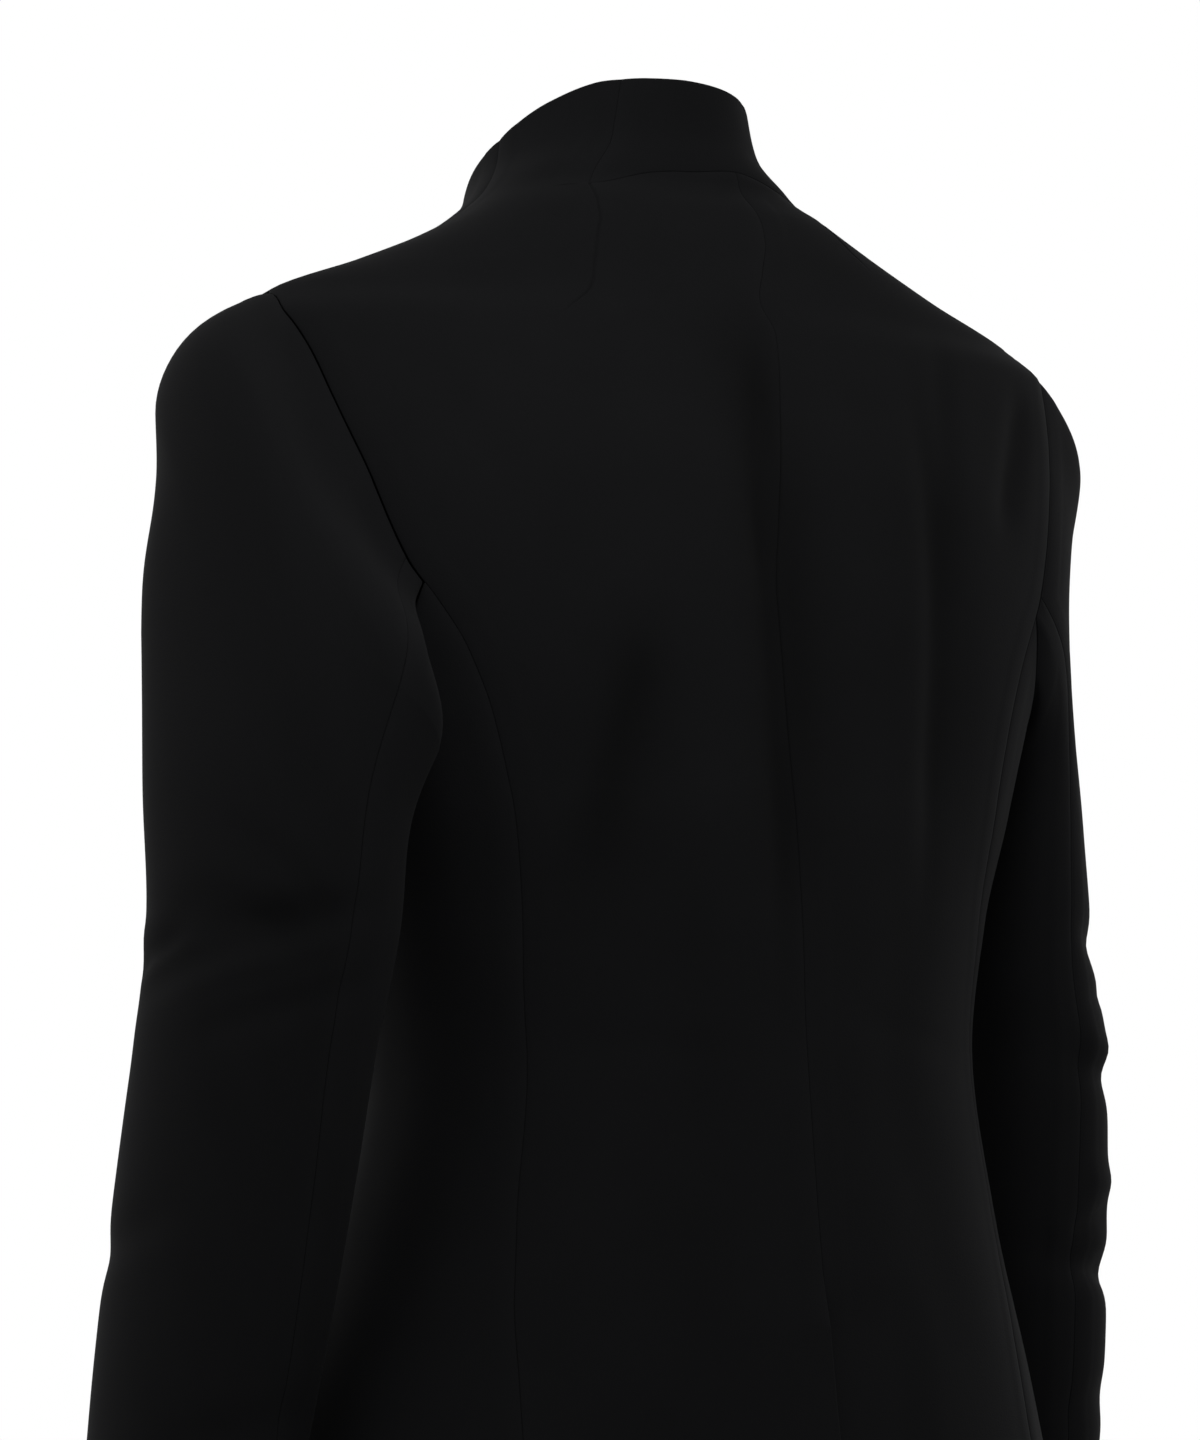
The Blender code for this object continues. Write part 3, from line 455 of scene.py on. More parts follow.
# %% [markdown]
# ## Stations
# A panel is a grid of stations. They crowd at its edges, where the cloth rolls into the
# seam within a millimetre, and are wide in the open, where only folds pass.

# %% Stations
EDGE_STEPS = np.array(
    [0.0, 0.00012, 0.00035, 0.00070, 0.00110, 0.0017, 0.0027, 0.0043, 0.0066, 0.0100]
)
ROOM = 2.4                # a strip narrower than this many edges gets narrower edges


def stations(lines, step):
    """Shares from 0 to 1 between lines given in metres, crowded on both sides of each line."""
    parts = []
    for low, high in zip(lines[:-1], lines[1:]):
        reach = EDGE_STEPS[-1]
        wide = high - low > ROOM * reach
        steps = EDGE_STEPS if wide else EDGE_STEPS * (high - low) / (ROOM * reach)
        count = max(2, int(round((high - low - 2 * steps[-1]) / step)))
        middle = np.linspace(low + steps[-1], high - steps[-1], count + 1)
        parts.append(np.concatenate([low + steps[:-1], middle, (high - steps[:-1])[::-1]])[:-1])
    parts.append([lines[-1]])
    return np.concatenate(parts)


print("stations across 16 cm:", len(stations([0.0, 0.16], 0.003)))

# %% [markdown]
# ## How the cloth lies at its edges
# At a seam the cloth rolls inwards over about a millimetre, and the pressed-open seam
# allowances lift it a little for the next centimetre. At a free edge it is folded over, so
# the wall ends in a half circle. Both are made in the mesh, because a line drawn in a
# material would not catch the light. A seam also draws the cloth up a little, unevenly.

# %% Edges of the cloth
SEAM_ROLL = 0.00055       # radius of the roll into a seam
FOLD_ROLL = 0.00094       # radius of a folded edge, just under half the cloth
ALLOWANCE = 0.011         # width of a pressed-open seam allowance
ALLOWANCE_LIFT = 0.00028
ALLOWANCE_RISE = 0.0025   # width over which the cloth rises onto the allowance
ALLOWANCE_FALL = 0.004
SEAM_DRAW = 0.00035       # how far a seam pulls the cloth around it in
DRAW_WIDTH = 0.0045
SEAM_PUCKER = 0.00012
PUCKER_WIDTH = 0.009
UNEVEN = 0.4              # how much the draw varies along a seam
SEAM_WAVES = (0.013, 0.021, 0.034)
SEAM_SEED = 11


def roll(distance, radius):
    """How far a rounded edge falls away at a distance from it."""
    inside = np.clip(radius - distance, 0.0, radius)
    return radius - np.sqrt(np.maximum(radius**2 - inside**2, 0.0))


def waves(points):
    """An uneven wave between -1 and 1 that is the same on both sides of a seam."""
    along = points[..., 2] + 0.7 * points[..., 0] + 0.4 * points[..., 1]
    random = np.random.RandomState(SEAM_SEED)
    full = 2 * math.pi
    total = sum(np.sin(along / length * full + random.uniform(0, full)) for length in SEAM_WAVES)
    return total / len(SEAM_WAVES)


def seam_lift(distance, points):
    """How a seam moves the cloth beside it outwards."""
    rising = ease(distance / ALLOWANCE_RISE)
    allowance = ALLOWANCE_LIFT * rising * (1 - ease((distance - ALLOWANCE) / ALLOWANCE_FALL))
    draw = -SEAM_DRAW * np.exp(-((distance / DRAW_WIDTH) ** 2)) * (1.0 + UNEVEN * waves(points))
    pucker = SEAM_PUCKER * waves(points + 0.31) * np.exp(-((distance / PUCKER_WIDTH) ** 2))
    return allowance + draw + pucker


print("roll at the seam itself:", roll(np.array([0.0, 0.0003]), SEAM_ROLL).round(5))

# %% [markdown]
# ## From a grid to a piece of cloth
# Each piece is a closed wall: an outer and an inner grid joined by a narrow rim. Its UV map
# is laid out in metres along the cloth, so the grain of the weave keeps one real size on
# every piece and follows the cloth where it bends.


# %% Making a shell
def arc_lengths(grid):
    """Metres travelled across each row and up each column of a grid."""
    across = np.linalg.norm(np.diff(grid, axis=1), axis=-1)
    up = np.linalg.norm(np.diff(grid, axis=0), axis=-1)
    u = np.concatenate([np.zeros((len(grid), 1)), np.cumsum(across, axis=1)], axis=1)
    v = np.concatenate([np.zeros((1, grid.shape[1])), np.cumsum(up, axis=0)], axis=0)
    return u, v


def shell(name, outer, inner, masks, present=None):
    """A closed wall of cloth between two grids. present says which cells there are."""
    rows, columns = outer.shape[:2]
    if present is None:
        present = np.ones((rows - 1, columns - 1), bool)
    index = np.arange(rows * columns).reshape(rows, columns)
    quads = np.stack([index[:-1, :-1], index[:-1, 1:], index[1:, 1:], index[1:, :-1]], axis=-1)
    front = quads[present]
    back = front[:, ::-1] + rows * columns
    padded = np.pad(present, 1)
    rims = []
    for di, dj, a, b in ((-1, 0, 0, 1), (0, 1, 1, 2), (1, 0, 2, 3), (0, -1, 3, 0)):
        beside = padded[1 + di : rows + di, 1 + dj : columns + dj]
        edge = quads[present & ~beside]
        first, second = edge[:, b], edge[:, a]
        rims.append(np.stack([first, second, second + rows * columns, first + rows * columns], -1))
    faces = np.concatenate([front, back] + rims)
    points = np.concatenate([outer.reshape(-1, 3), inner.reshape(-1, 3)])
    a, b, c, d = (points[faces[:, k]] for k in range(4))
    if np.einsum("ij,ij->i", a, np.cross(b, c) + np.cross(c, d)).sum() < 0:
        faces = faces[:, ::-1]
    used, faces = np.unique(faces, return_inverse=True)
    faces = faces.reshape(-1, 4)
    mesh = bpy.data.meshes.new(name)
    mesh.from_pydata(points[used].tolist(), [], faces.tolist())
    u, v = arc_lengths(outer)
    flat = np.stack([np.tile(u.ravel(), 2), np.tile(v.ravel(), 2)], axis=-1)[used]
    layer = mesh.uv_layers.new(name="cloth")
    layer.data.foreach_set("uv", flat[faces].reshape(-1).astype(np.float32))
    # Two masks go on the points: near the seams, which are painted paler, and the troughs, which
    # get painted shade.
    for label, mask in zip(("seam", "fold_shade_mask"), masks):
        attribute = mesh.attributes.new(label, "FLOAT", "POINT")
        attribute.data.foreach_set("value", np.tile(mask.ravel(), 2)[used].astype(np.float32))
    mesh.shade_smooth()
    mesh.validate()
    piece = new_object(name, mesh)
    a, b, c, d = (points[front[:, k]] for k in range(4))
    return piece


cloth = {}

# %% [markdown]
# ## Laying the cloth
# Every piece goes the same way: its plain points on the body, the direction out of the body,
# the folds, and then its own edges. One function does it, so a seam looks alike from both
# of its sides. The distance to an edge is measured along the cloth and corrected where the
# rows meet the edge at a slant.

# %% Laying the cloth
INSIDE = 0.6              # the inside of an edge is rolled by this share of its outside
SEAM_MARK = 0.005         # how wide the paler paint of a seam reaches, for wear and a painted highlight
PART_WIDTH = 0.010        # width over which two pieces are moved apart at a seam
Edge = namedtuple("Edge", "distance radius seam")


def off_edge(points, side):
    """Distance of every point of a grid from one of its sides."""
    upright = side in ("left", "right")
    grid = points.swapaxes(0, 1) if upright else points
    grid = grid[::-1] if side in ("top", "right") else grid
    steps = np.linalg.norm(np.diff(grid, axis=0), axis=-1)
    travelled = np.concatenate([np.zeros((1, grid.shape[1])), np.cumsum(steps, axis=0)])
    tangent = unit(np.gradient(grid[0], axis=0))
    into = unit(grid[8] - grid[0])
    distance = travelled * np.linalg.norm(np.cross(tangent, into), axis=-1)
    distance = distance[::-1] if side in ("top", "right") else distance
    return distance.T if upright else distance


def lay(plain, out, lift, edges):
    """Outer and inner points of a piece, and how near each point is to a seam."""
    rolled = np.zeros(lift.shape)
    nearest = np.ones(lift.shape)
    for edge in edges:
        rolled = np.maximum(rolled, roll(edge.distance, edge.radius))
        nearest = np.minimum(nearest, edge.distance + 1.0 - edge.seam)
    lift = lift + seam_lift(nearest, plain)
    outer = plain + out * (lift - rolled)[..., None]
    inner = plain + out * (lift - CLOTH + INSIDE * rolled)[..., None]
    return outer, inner, np.exp(-((nearest / SEAM_MARK) ** 2))


def plain_edges(plain, kinds):
    """The four sides of a piece, each as a seam or as a folded edge."""
    return [
        Edge(off_edge(plain, where), SEAM_ROLL if seam else FOLD_ROLL, float(seam))
        for where, seam in kinds.items()
    ]


def part_edge(turn, height, distance, sign):
    """Turns moved away from a seam so that two pieces stand SEAM_SEEN apart there."""
    return turn + sign * half_seam(turn, height) * (1 - ease(distance / PART_WIDTH))


def part_sides(turn, height, column, width):
    """Turns moved away from the seams at both upright sides of a piece."""
    metres = column * width * np.ones(turn.shape)
    turn = part_edge(turn, height, metres, 1)
    return part_edge(turn, height, width - metres, -1)


def off_part(points, rows, columns, side):
    """Distance from a side of one part of a grid, and a metre everywhere else."""
    distance = np.full(points.shape[:2], 1.0)
    distance[rows, columns] = off_edge(points[rows, columns], side)
    return distance


def cut_piece(node, plain, out, height, step, edges):
    """A piece of the body, with its folds and its edges."""
    outer, inner, near = lay(plain, out, relief(plain, height) + step, edges)
    masks = (near, hollows(plain, height))
    cloth[node] = shell("_cloth_".join(node.rsplit("_", 1)), outer, inner, masks)


# %% [markdown]
# ## The backs
# The centre back seam runs from the nape to the vent. The short stand collar is cut on with
# the back, except between the two neck darts, where a separate piece closes it. The left
# back lies on the right one at the vent, which has a folded underlap behind it.

# %% The backs
STEP = 0.0031             # between two stations in the open
BACK_WIDTH = 0.170
DART_SHARE = {            # the darts' place on the neck seam, as shares of its half
    side: (getattr(DART[-1], side) - sign * CENTRE[-1].turn) / (90.0 - sign * CENTRE[-1].turn)
    for side, sign in (("left", 1), ("right", -1))
}
DART_DEPTH = 0.0009
DART_WIDTH = 0.0008
DART_SWELL = 0.0003       # the cloth stands up a little beside the dart
SWELL_WIDTH = 0.006
DART_FADE = 0.024         # the dart runs out over this height
VENT_CLOSE = 0.004
COLLAR_RISE = 0.046
COLLAR_WIDTH = 0.100
COLLAR_ROLL = 0.00030     # the collar is pressed flat, so its seams are finer
COLLAR_EASE = 0.060       # height over which they grow finer
NECK_EASE = 0.020


def dart_columns(column, level, centre, side):
    """Shares of the way to the side edge, bent so that one column runs along the dart."""
    edge = smooth_table(BACK_EDGE, "turn", np.minimum(level, SHOULDER))
    top = DART_SHARE[side]
    dart = (smooth_table(DART, side, level) - centre) / (edge - centre)
    inside = column * dart / top
    outside = dart + (column - top) * (1 - dart) / (1 - top)
    return np.where(column <= top, inside, outside)


def collar_roll(height):
    """A seam's roll, finer where the seam runs on up the collar."""
    return SEAM_ROLL + (COLLAR_ROLL - SEAM_ROLL) * ease((height - SHOULDER) / COLLAR_EASE)


def make_back(side):
    """One back, with its part of the collar and, on the right, the vent's underlap."""
    sign = 1 if side == "left" else -1
    column = stations([0.0, DART_SHARE[side] * BACK_WIDTH, BACK_WIDTH], STEP) / BACK_WIDTH
    dart = int(np.argmin(np.abs(column - DART_SHARE[side])))
    level = stations([HEM, VENT_TOP, NAPE], STEP)[:, None]
    neck_row = len(level) - 1
    vent_row = int(np.argmin(np.abs(level[:, 0] - VENT_TOP)))
    centre = sign * smooth_table(CENTRE, "turn", level)
    share = dart_columns(column, level, centre, side)
    neck = smooth_table(NECK_SEAM, "height", sign * (centre[-1] + share * (90.0 - centre[-1])))
    upper = np.maximum(level - SHOULDER, 0.0) / (NAPE - SHOULDER)
    height = np.minimum(level, SHOULDER) + upper * (neck - SHOULDER)
    height[:, : dart + 1] -= SEAM_SEEN / 2 * ease((level - NAPE + NECK_EASE) / NECK_EASE)
    turn = centre + share * (smooth_table(BACK_EDGE, "turn", height) - centre)
    rise = (stations([0.0, COLLAR_RISE], STEP) / COLLAR_RISE)[1:, None]
    rim = smooth_table(RIM, "height", np.abs(turn[-1]))
    height = np.vstack([height, neck[-1] + rise * (rim - neck[-1])])
    turn = np.vstack([turn, np.repeat(turn[-1:], len(rise), axis=0)])
    turn = part_sides(turn, height, column, BACK_WIDTH)
    metres = column * BACK_WIDTH
    beyond = np.where(metres >= metres[dart], metres - metres[dart], 1.0)
    turn[neck_row:] = part_edge(turn[neck_row:], height[neck_row:], beyond, 1)
    present = np.ones((turn.shape[0] - 1, turn.shape[1] - 1), bool)
    present[neck_row:, :dart] = False
    lap = 0
    if side == "right":
        way = stations([0.0, VENT_LAP], STEP)[:0:-1]
        lap = len(way)
        width = smooth_table(TORSO, "half_width", height[:, :1])
        square = smooth_table(TORSO, "back_square", height[:, :1])
        turn = np.hstack([-np.degrees(np.arcsin((way / width) ** (square / 2))), turn])
        height = np.hstack([np.repeat(height[:, :1], lap, axis=1), height])
        below = np.arange(len(present)) < vent_row
        present = np.hstack([np.repeat(below[:, None], lap, axis=1), present])
        dart += lap
    plain = ring(sign * turn, height)
    out = normal(sign * turn, height)
    closed = ease((height - VENT_TOP) / VENT_CLOSE)
    inward = ease((VENT_LAP + EDGE_EASE - np.abs(plain[..., 0])) / EDGE_EASE)
    step = sign * LAYER * inward * ease((VENT_TOP + VENT_EASE - height) / VENT_EASE)
    lift = relief(plain, height) + step

    every = slice(None)
    from_centre = off_part(plain, every, slice(lap, None), "left")
    edges = [Edge(from_centre, SEAM_ROLL * closed, closed)]
    if side == "left":
        edges.append(Edge(from_centre, FOLD_ROLL * (1 - closed), 0.0))
    else:
        lap_rows = slice(0, vent_row + 1)
        edges.append(Edge(off_part(plain, lap_rows, every, "left"), FOLD_ROLL, 0.0))
        edges.append(Edge(off_part(plain, lap_rows, slice(0, lap), "top"), FOLD_ROLL, 0.0))
    edges.append(Edge(off_edge(plain, "right"), collar_roll(height), 1.0))
    edges.append(Edge(off_edge(plain, "bottom"), FOLD_ROLL, 0.0))
    from_rim = off_edge(plain, "top")
    from_rim[:, :dart] = 1.0
    edges.append(Edge(from_rim, FOLD_ROLL, 0.0))
    from_neck = off_part(plain, slice(0, neck_row + 1), slice(0, dart + 1), "top")
    edges.append(Edge(from_neck, SEAM_ROLL, 1.0))
    from_dart = off_part(plain, slice(neck_row, None), slice(dart, None), "left")
    edges.append(Edge(from_dart, COLLAR_ROLL, 1.0))

    u = arc_lengths(plain)[0]
    beside = np.abs(u - u[:, dart : dart + 1])
    on_body = (np.arange(len(height)) < neck_row)[:, None]
    foot = ease((height - DART_FOOT[side]) / DART_FADE) * on_body
    outer, inner, near = lay(plain, out, lift, edges)
    groove = DART_DEPTH * np.exp(-((beside / DART_WIDTH) ** 2))
    groove = groove - DART_SWELL * np.exp(-((beside / SWELL_WIDTH) ** 2))
    outer = outer - out * (foot * groove)[..., None]
    masks = (near, hollows(plain, height))
    cloth["back_" + side] = shell("back_cloth_" + side, outer, inner, masks, present)


def make_collar_back():
    """The short stand between the two neck darts."""
    middle = CENTRE[-1].turn
    right_end = middle - DART_SHARE["right"] * (90.0 + middle)
    left_end = middle + DART_SHARE["left"] * (90.0 - middle)
    column = stations([0.0, COLLAR_WIDTH], STEP) / COLLAR_WIDTH
    rise = (stations([0.0, COLLAR_RISE], STEP) / COLLAR_RISE)[:, None]
    turn = right_end + column * (left_end - right_end)
    neck = smooth_table(NECK_SEAM, "height", turn)
    rim = smooth_table(RIM, "height", np.abs(turn))
    height = neck + rise * (rim - neck)
    height = height + SEAM_SEEN / 2 * (1 - ease(rise * COLLAR_RISE / PART_WIDTH))
    turn = np.repeat(turn[None, :], len(height), axis=0)
    turn = part_sides(turn, height, column, COLLAR_WIDTH)
    plain, out = ring(turn, height), normal(turn, height)
    edges = [Edge(off_edge(plain, where), COLLAR_ROLL, 1.0) for where in ("left", "right")]
    edges += plain_edges(plain, {"bottom": True, "top": False})
    cut_piece("collar_back", plain, out, height, 0.0, edges)


make_back("left")
make_back("right")
make_collar_back()

# %% [markdown]
# ## The side panels and the fronts
# A side panel ends in the low part of the armhole. The fronts run on up to the neck and end
# in the plain V of the neckline. The right front lies on the left one, and each sinks or
# rises by half a layer there, over a width of a few centimetres.

# %% The side panels and the fronts
SIDE_WIDTH = 0.135
FRONT_WIDTH = 0.250
COLLAR_TOP = 0.040


def scye_heights(column):
    """Height of the armhole over each column of a side panel."""
    height = np.interp(column, [0.0, 1.0], [BACK_CORNER, FRONT_CORNER])
    for _ in range(30):
        rear = smooth_table(BACK_EDGE, "turn", height)
        fore = smooth_table(FRONT_EDGE, "turn", height)
        wanted = smooth_table(SCYE, "height", rear + column * (fore - rear))
        height = height + 0.5 * (wanted - height)
    height[0], height[-1] = BACK_CORNER, FRONT_CORNER
    return height


def neckline_heights(column):
    """Where each column of a front ends: at the collar's edge or along the V."""
    low = np.full(column.shape, BREAK)
    high = np.full(column.shape, COLLAR_TOP)
    for _ in range(40):
        middle = (low + high) / 2
        edge = smooth_table(FRONT_EDGE, "turn", middle)
        turn = edge + column * (turn_at(OVERLAP, middle) - edge)
        over = smooth_table(NECKLINE, "height", turn) < middle
        high = np.where(over, middle, high)
        low = np.where(over, low, middle)
    return (low + high) / 2


def make_side(side):
    """One side panel, from the hem to the lower part of the armhole."""
    column = stations([0.0, SIDE_WIDTH], STEP) / SIDE_WIDTH
    top = scye_heights(column)
    share = (stations([0.0, BACK_CORNER - HEM], STEP) / (BACK_CORNER - HEM))[:, None]
    height = HEM + share * (top - HEM)
    rear = smooth_table(BACK_EDGE, "turn", height)
    fore = smooth_table(FRONT_EDGE, "turn", height)
    turn = rear + column * (fore - rear)
    turn = part_sides(turn, height, column, SIDE_WIDTH)
    sign = 1 if side == "left" else -1
    plain, out = ring(sign * turn, height), normal(sign * turn, height)
    edges = plain_edges(plain, {"left": True, "right": True, "top": True, "bottom": False})
    cut_piece("side_" + side, plain, out, height, 0.0, edges)


def lap_step(plain, height):
    """Half the step between the fronts where they lie on each other."""
    inward = ease((OVERLAP + EDGE_EASE - np.abs(plain[..., 0])) / EDGE_EASE)
    return LAYER * inward * ease((LAP_TOP - height) / LAP_EASE)


def make_front(side):
    """One front. The right one lies on the left one."""
    column = stations([0.0, FRONT_WIDTH], STEP) / FRONT_WIDTH
    top = neckline_heights(column)
    share = (stations([HEM, COLLAR_TOP], STEP) - HEM)[:, None] / (COLLAR_TOP - HEM)
    height = HEM + share * (top - HEM)
    edge = smooth_table(FRONT_EDGE, "turn", height)
    turn = edge + column * (turn_at(OVERLAP, height) - edge)
    turn = part_edge(turn, height, column * FRONT_WIDTH * np.ones(turn.shape), 1)
    sign = 1 if side == "left" else -1
    plain, out = ring(sign * turn, height), normal(sign * turn, height)
    step = -sign * lap_step(plain, height)
    edges = plain_edges(plain, {"right": False, "top": False, "bottom": False})
    edges.append(Edge(off_edge(plain, "left"), collar_roll(height), 1.0))
    cut_piece("front_" + side, plain, out, height, step, edges)


make_side("left")
make_side("right")
make_front("left")
make_front("right")

# %% [markdown]
# ## The sleeves
# A two-piece sleeve leaves the armhole and turns down into the arm. Each point of the armhole
# runs on a curve to its own point of the tube below: gently over the sleeve head, and with a
# sharp turn at the underarm. The directions at the armhole are evened out along it, so that
# the head rounds over without a ridge. Elbow creases are deeper on the inner side of the bend.

# %% The sleeves
RING_SAMPLES = 720
EVENING = 0.016           # over how many metres the directions are evened out
CAP_LENGTH = 0.190
ARMHOLE_GAP = 0.00030     # a sleeve stands a little clear of the panels' folded edges
ARMHOLE_ROLL = 0.00035
SLIDE = 0.80              # how far the cloth's way over the head leans along the seam
LEAST_RISE = 0.35
CREASE_EASE = 0.050       # height over which the creases begin below the armhole
SLEEVE_FOLD_SHADE = 0.4       # how much painted shade the creases get, against the folds of the body
BEND_ROWS = 10.0          # rows over which the head is evened into the tube
BEND_PASSES = 60


def armhole(side):
    """The armhole as a fine closed line from the sleeve head down the back and up the front."""
    rear = np.linspace(SHOULDER, BACK_CORNER, 200)
    back = np.stack([smooth_table(BACK_EDGE, "turn", rear), rear], axis=-1)
    column = np.linspace(0.0, 1.0, 200)
    low = scye_heights(column)
    rear_turn = smooth_table(BACK_EDGE, "turn", low)
    fore_turn = smooth_table(FRONT_EDGE, "turn", low)
    under = np.stack([rear_turn + column * (fore_turn - rear_turn), low], axis=-1)
    fore = np.linspace(FRONT_CORNER, SHOULDER, 200)
    front = np.stack([smooth_table(FRONT_EDGE, "turn", fore), fore], axis=-1)
    way = np.concatenate([back, under[1:], front[1:]])
    sign = 1 if side == "left" else -1
    plain = ring(sign * way[:, 0], way[:, 1])
    out = normal(sign * way[:, 0], way[:, 1])
    head = plain + out * relief(plain, way[:, 1])[:, None]
    travelled = np.concatenate([[0.0], np.cumsum(np.linalg.norm(np.diff(head, axis=0), axis=-1))])
    at_seams = [
        float(np.interp(-SEAM_BACK, -rear, travelled[:200])),
        float(np.interp(SEAM_FRONT, fore, travelled[398:])),
    ]
    return head, out, travelled, at_seams


def around_ring(travelled, values, at):
    """Values of a closed line at any distance along it."""
    at = np.mod(at, travelled[-1])
    return np.stack([np.interp(at, travelled, values[:, k]) for k in range(values.shape[1])], -1)


def evened(values, spacing, reach):
    """Values of a closed, evenly spaced line, blurred along it."""
    count = int(3 * reach / spacing)
    offsets = np.arange(-count, count + 1)
    weight = np.exp(-0.5 * (offsets * spacing / reach) ** 2)
    weight /= weight.sum()
    return sum(w * np.roll(values, o, axis=0) for w, o in zip(weight, offsets))


def tube_point(arm, side, height, turn):
    """Points of a sleeve's tube at a height of its middle and a turn around it."""
    value = {name: smooth_table(arm[::-1], name, height) for name in arm[0]._fields[1:]}
    toe, angle = np.radians(value["toe"]), np.radians(turn)
    angle = angle + np.radians(value["swing"]) * np.sin(angle)
    wide = value["half_width"] * np.cos(angle)
    deep = value["half_depth"] * np.sin(angle)
    x = np.cos(toe) * wide - np.sin(toe) * deep
    y = np.sin(toe) * wide + np.cos(toe) * deep
    z = height + np.tan(np.radians(value["tilt"])) * x - np.tan(np.radians(value["pitch"])) * y
    sign = 1 if side == "left" else -1
    return np.stack([sign * (value["out"] + x), value["back"] + y, z], axis=-1)


def crease_relief(side, grid, turn):
    """How far the creases move the points of a sleeve outwards."""
    arm = ARM_LEFT if side == "left" else ARM_RIGHT
    total = np.zeros(grid.shape[:2])
    for crease in CREASES + FINE_CREASES:
        if crease.side != side:
            continue
        round_it = (turn - crease.turn_top + 180) % 360 - 180
        swing = crease.turn_foot - crease.turn_top
        middle = float(smooth_table(arm[::-1], "half_depth", crease.top))
        x = np.radians(round_it)[None, :] * middle
        span = math.radians(swing) * middle
        total += crease.depth * along_line(
            x, grid[..., 2], 0.0, crease.top, span, crease.foot, crease.width
        )
    return total


def make_sleeve(side):
    """Upper and under sleeve, parted at the back seam and the front seam."""
    arm = ARM_LEFT if side == "left" else ARM_RIGHT
    head, out, travelled, (back_seam, front_seam) = armhole(side)
    length = travelled[-1]
    even = np.linspace(0.0, length, RING_SAMPLES, endpoint=False)
    spacing = length / RING_SAMPLES
    ring_points = around_ring(travelled, head, even)
    ring_out = unit(evened(around_ring(travelled, out, even), spacing, EVENING))
    ahead_behind = np.roll(ring_points, -1, axis=0) - np.roll(ring_points, 1, axis=0)
    tangent = unit(evened(ahead_behind, spacing, EVENING))
    away = unit(np.cross(tangent, ring_out)) * (1 if side == "left" else -1)
    lowest = even[int(np.argmin(ring_points[:, 2]))]
    share = np.where(even <= lowest, even / lowest, (length - even) / (length - lowest))
    turn_back = smooth_table(RUN, "turn_back", share)
    turn = np.where(even <= lowest, turn_back, -smooth_table(RUN, "turn_front", share))
    full = FULLNESS[side] + (1 - FULLNESS[side]) * share**3
    lift = (full * smooth_table(RUN, "lift", share))[:, None]
    first, last = arm[0].height, arm[-1].height
    target = tube_point(arm, side, np.full(RING_SAMPLES, first), turn)
    below = tube_point(arm, side, np.full(RING_SAMPLES, first - 0.01), turn)
    run = np.linalg.norm(target - ring_points, axis=-1, keepdims=True)
    rise = unit(away + lift * ring_out)
    chord = target - ring_points
    ahead = np.maximum((chord * rise).sum(-1, keepdims=True), LEAST_RISE * run)
    slide = SLIDE * (chord * tangent).sum(-1, keepdims=True)
    leaving = smooth_table(RUN, "leaving", share)[:, None]
    leave = unit(ahead * rise + slide * tangent) * run * leaving
    arrive = -unit(below - target) * run * smooth_table(RUN, "landing", share)[:, None]
    leave, arrive = evened(leave, spacing, EVENING), evened(arrive, spacing, EVENING)
    round_it = np.radians(turn)
    angle = evened(np.stack([np.cos(round_it), np.sin(round_it)], -1), spacing, EVENING)

    under = stations([back_seam, front_seam], STEP)
    upper = stations([front_seam, back_seam + length], STEP)
    at = np.concatenate([under, upper[1:-1]])
    closed = np.concatenate([even, [length]])

    def sample(values):
        return around_ring(closed, np.concatenate([values, values[:1]]), at)

    start = around_ring(travelled, head, at) + sample(away) * ARMHOLE_GAP
    leave, arrive, angle = sample(leave), sample(arrive), sample(angle)
    turn = np.degrees(np.arctan2(angle[:, 1], angle[:, 0]))
    target = tube_point(arm, side, np.full(len(at), first), turn)
    rows = []
    for t in stations([0.0, CAP_LENGTH], STEP)[:-1] / CAP_LENGTH:
        rows.append(
            (1 - t) ** 3 * start
            + 3 * (1 - t) ** 2 * t * (start + leave)
            + 3 * (1 - t) * t**2 * (target + arrive)
            + t**3 * target
        )
    cap_rows = len(rows)
    levels = -stations([-first, -last], STEP)
    for height in levels:
        rows.append(tube_point(arm, side, np.full(len(at), height), turn))
    grid = even_rows(np.array(rows), cap_rows)

    across = np.roll(grid, -1, axis=1) - np.roll(grid, 1, axis=1)
    down = np.gradient(grid, axis=0)
    facing = unit(np.cross(across, down)) * (-1 if side == "left" else 1)
    fade = np.concatenate([np.zeros(cap_rows), ease((first - levels) / CREASE_EASE)])[:, None]
    lift = crease_relief(side, grid, turn) * fade
    across = unit(across)
    count = len(at)
    last_under = len(under) - 1
    for name, columns in (
        ("under_sleeve_", np.arange(0, last_under + 1)),
        ("upper_sleeve_", np.arange(last_under, count + 1) % count),
    ):
        plain, outward, raised = grid[:, columns], facing[:, columns], lift[:, columns]
        from_first = off_edge(plain, "left")
        from_last = off_edge(plain, "right")
        at_first = 1 - ease(from_first / PART_WIDTH)
        shift = SEAM_SEEN / 2 * (at_first - (1 - ease(from_last / PART_WIDTH)))
        plain = plain + across[:, columns] * shift[..., None]
        edges = plain_edges(plain, {"left": True, "right": True, "top": False})
        edges.append(Edge(off_edge(plain, "bottom"), ARMHOLE_ROLL, 1.0))
        outer, inner, near = lay(plain, outward, raised, edges)
        # The creases carry a share of the painted shade of the folds.
        masks = (near, np.clip(-SLEEVE_FOLD_SHADE * raised / DEEP, 0.0, 1.0))
        label = name.replace("sleeve", "sleeve_cloth") + side
        cloth[name + side] = shell(label, outer, inner, masks)


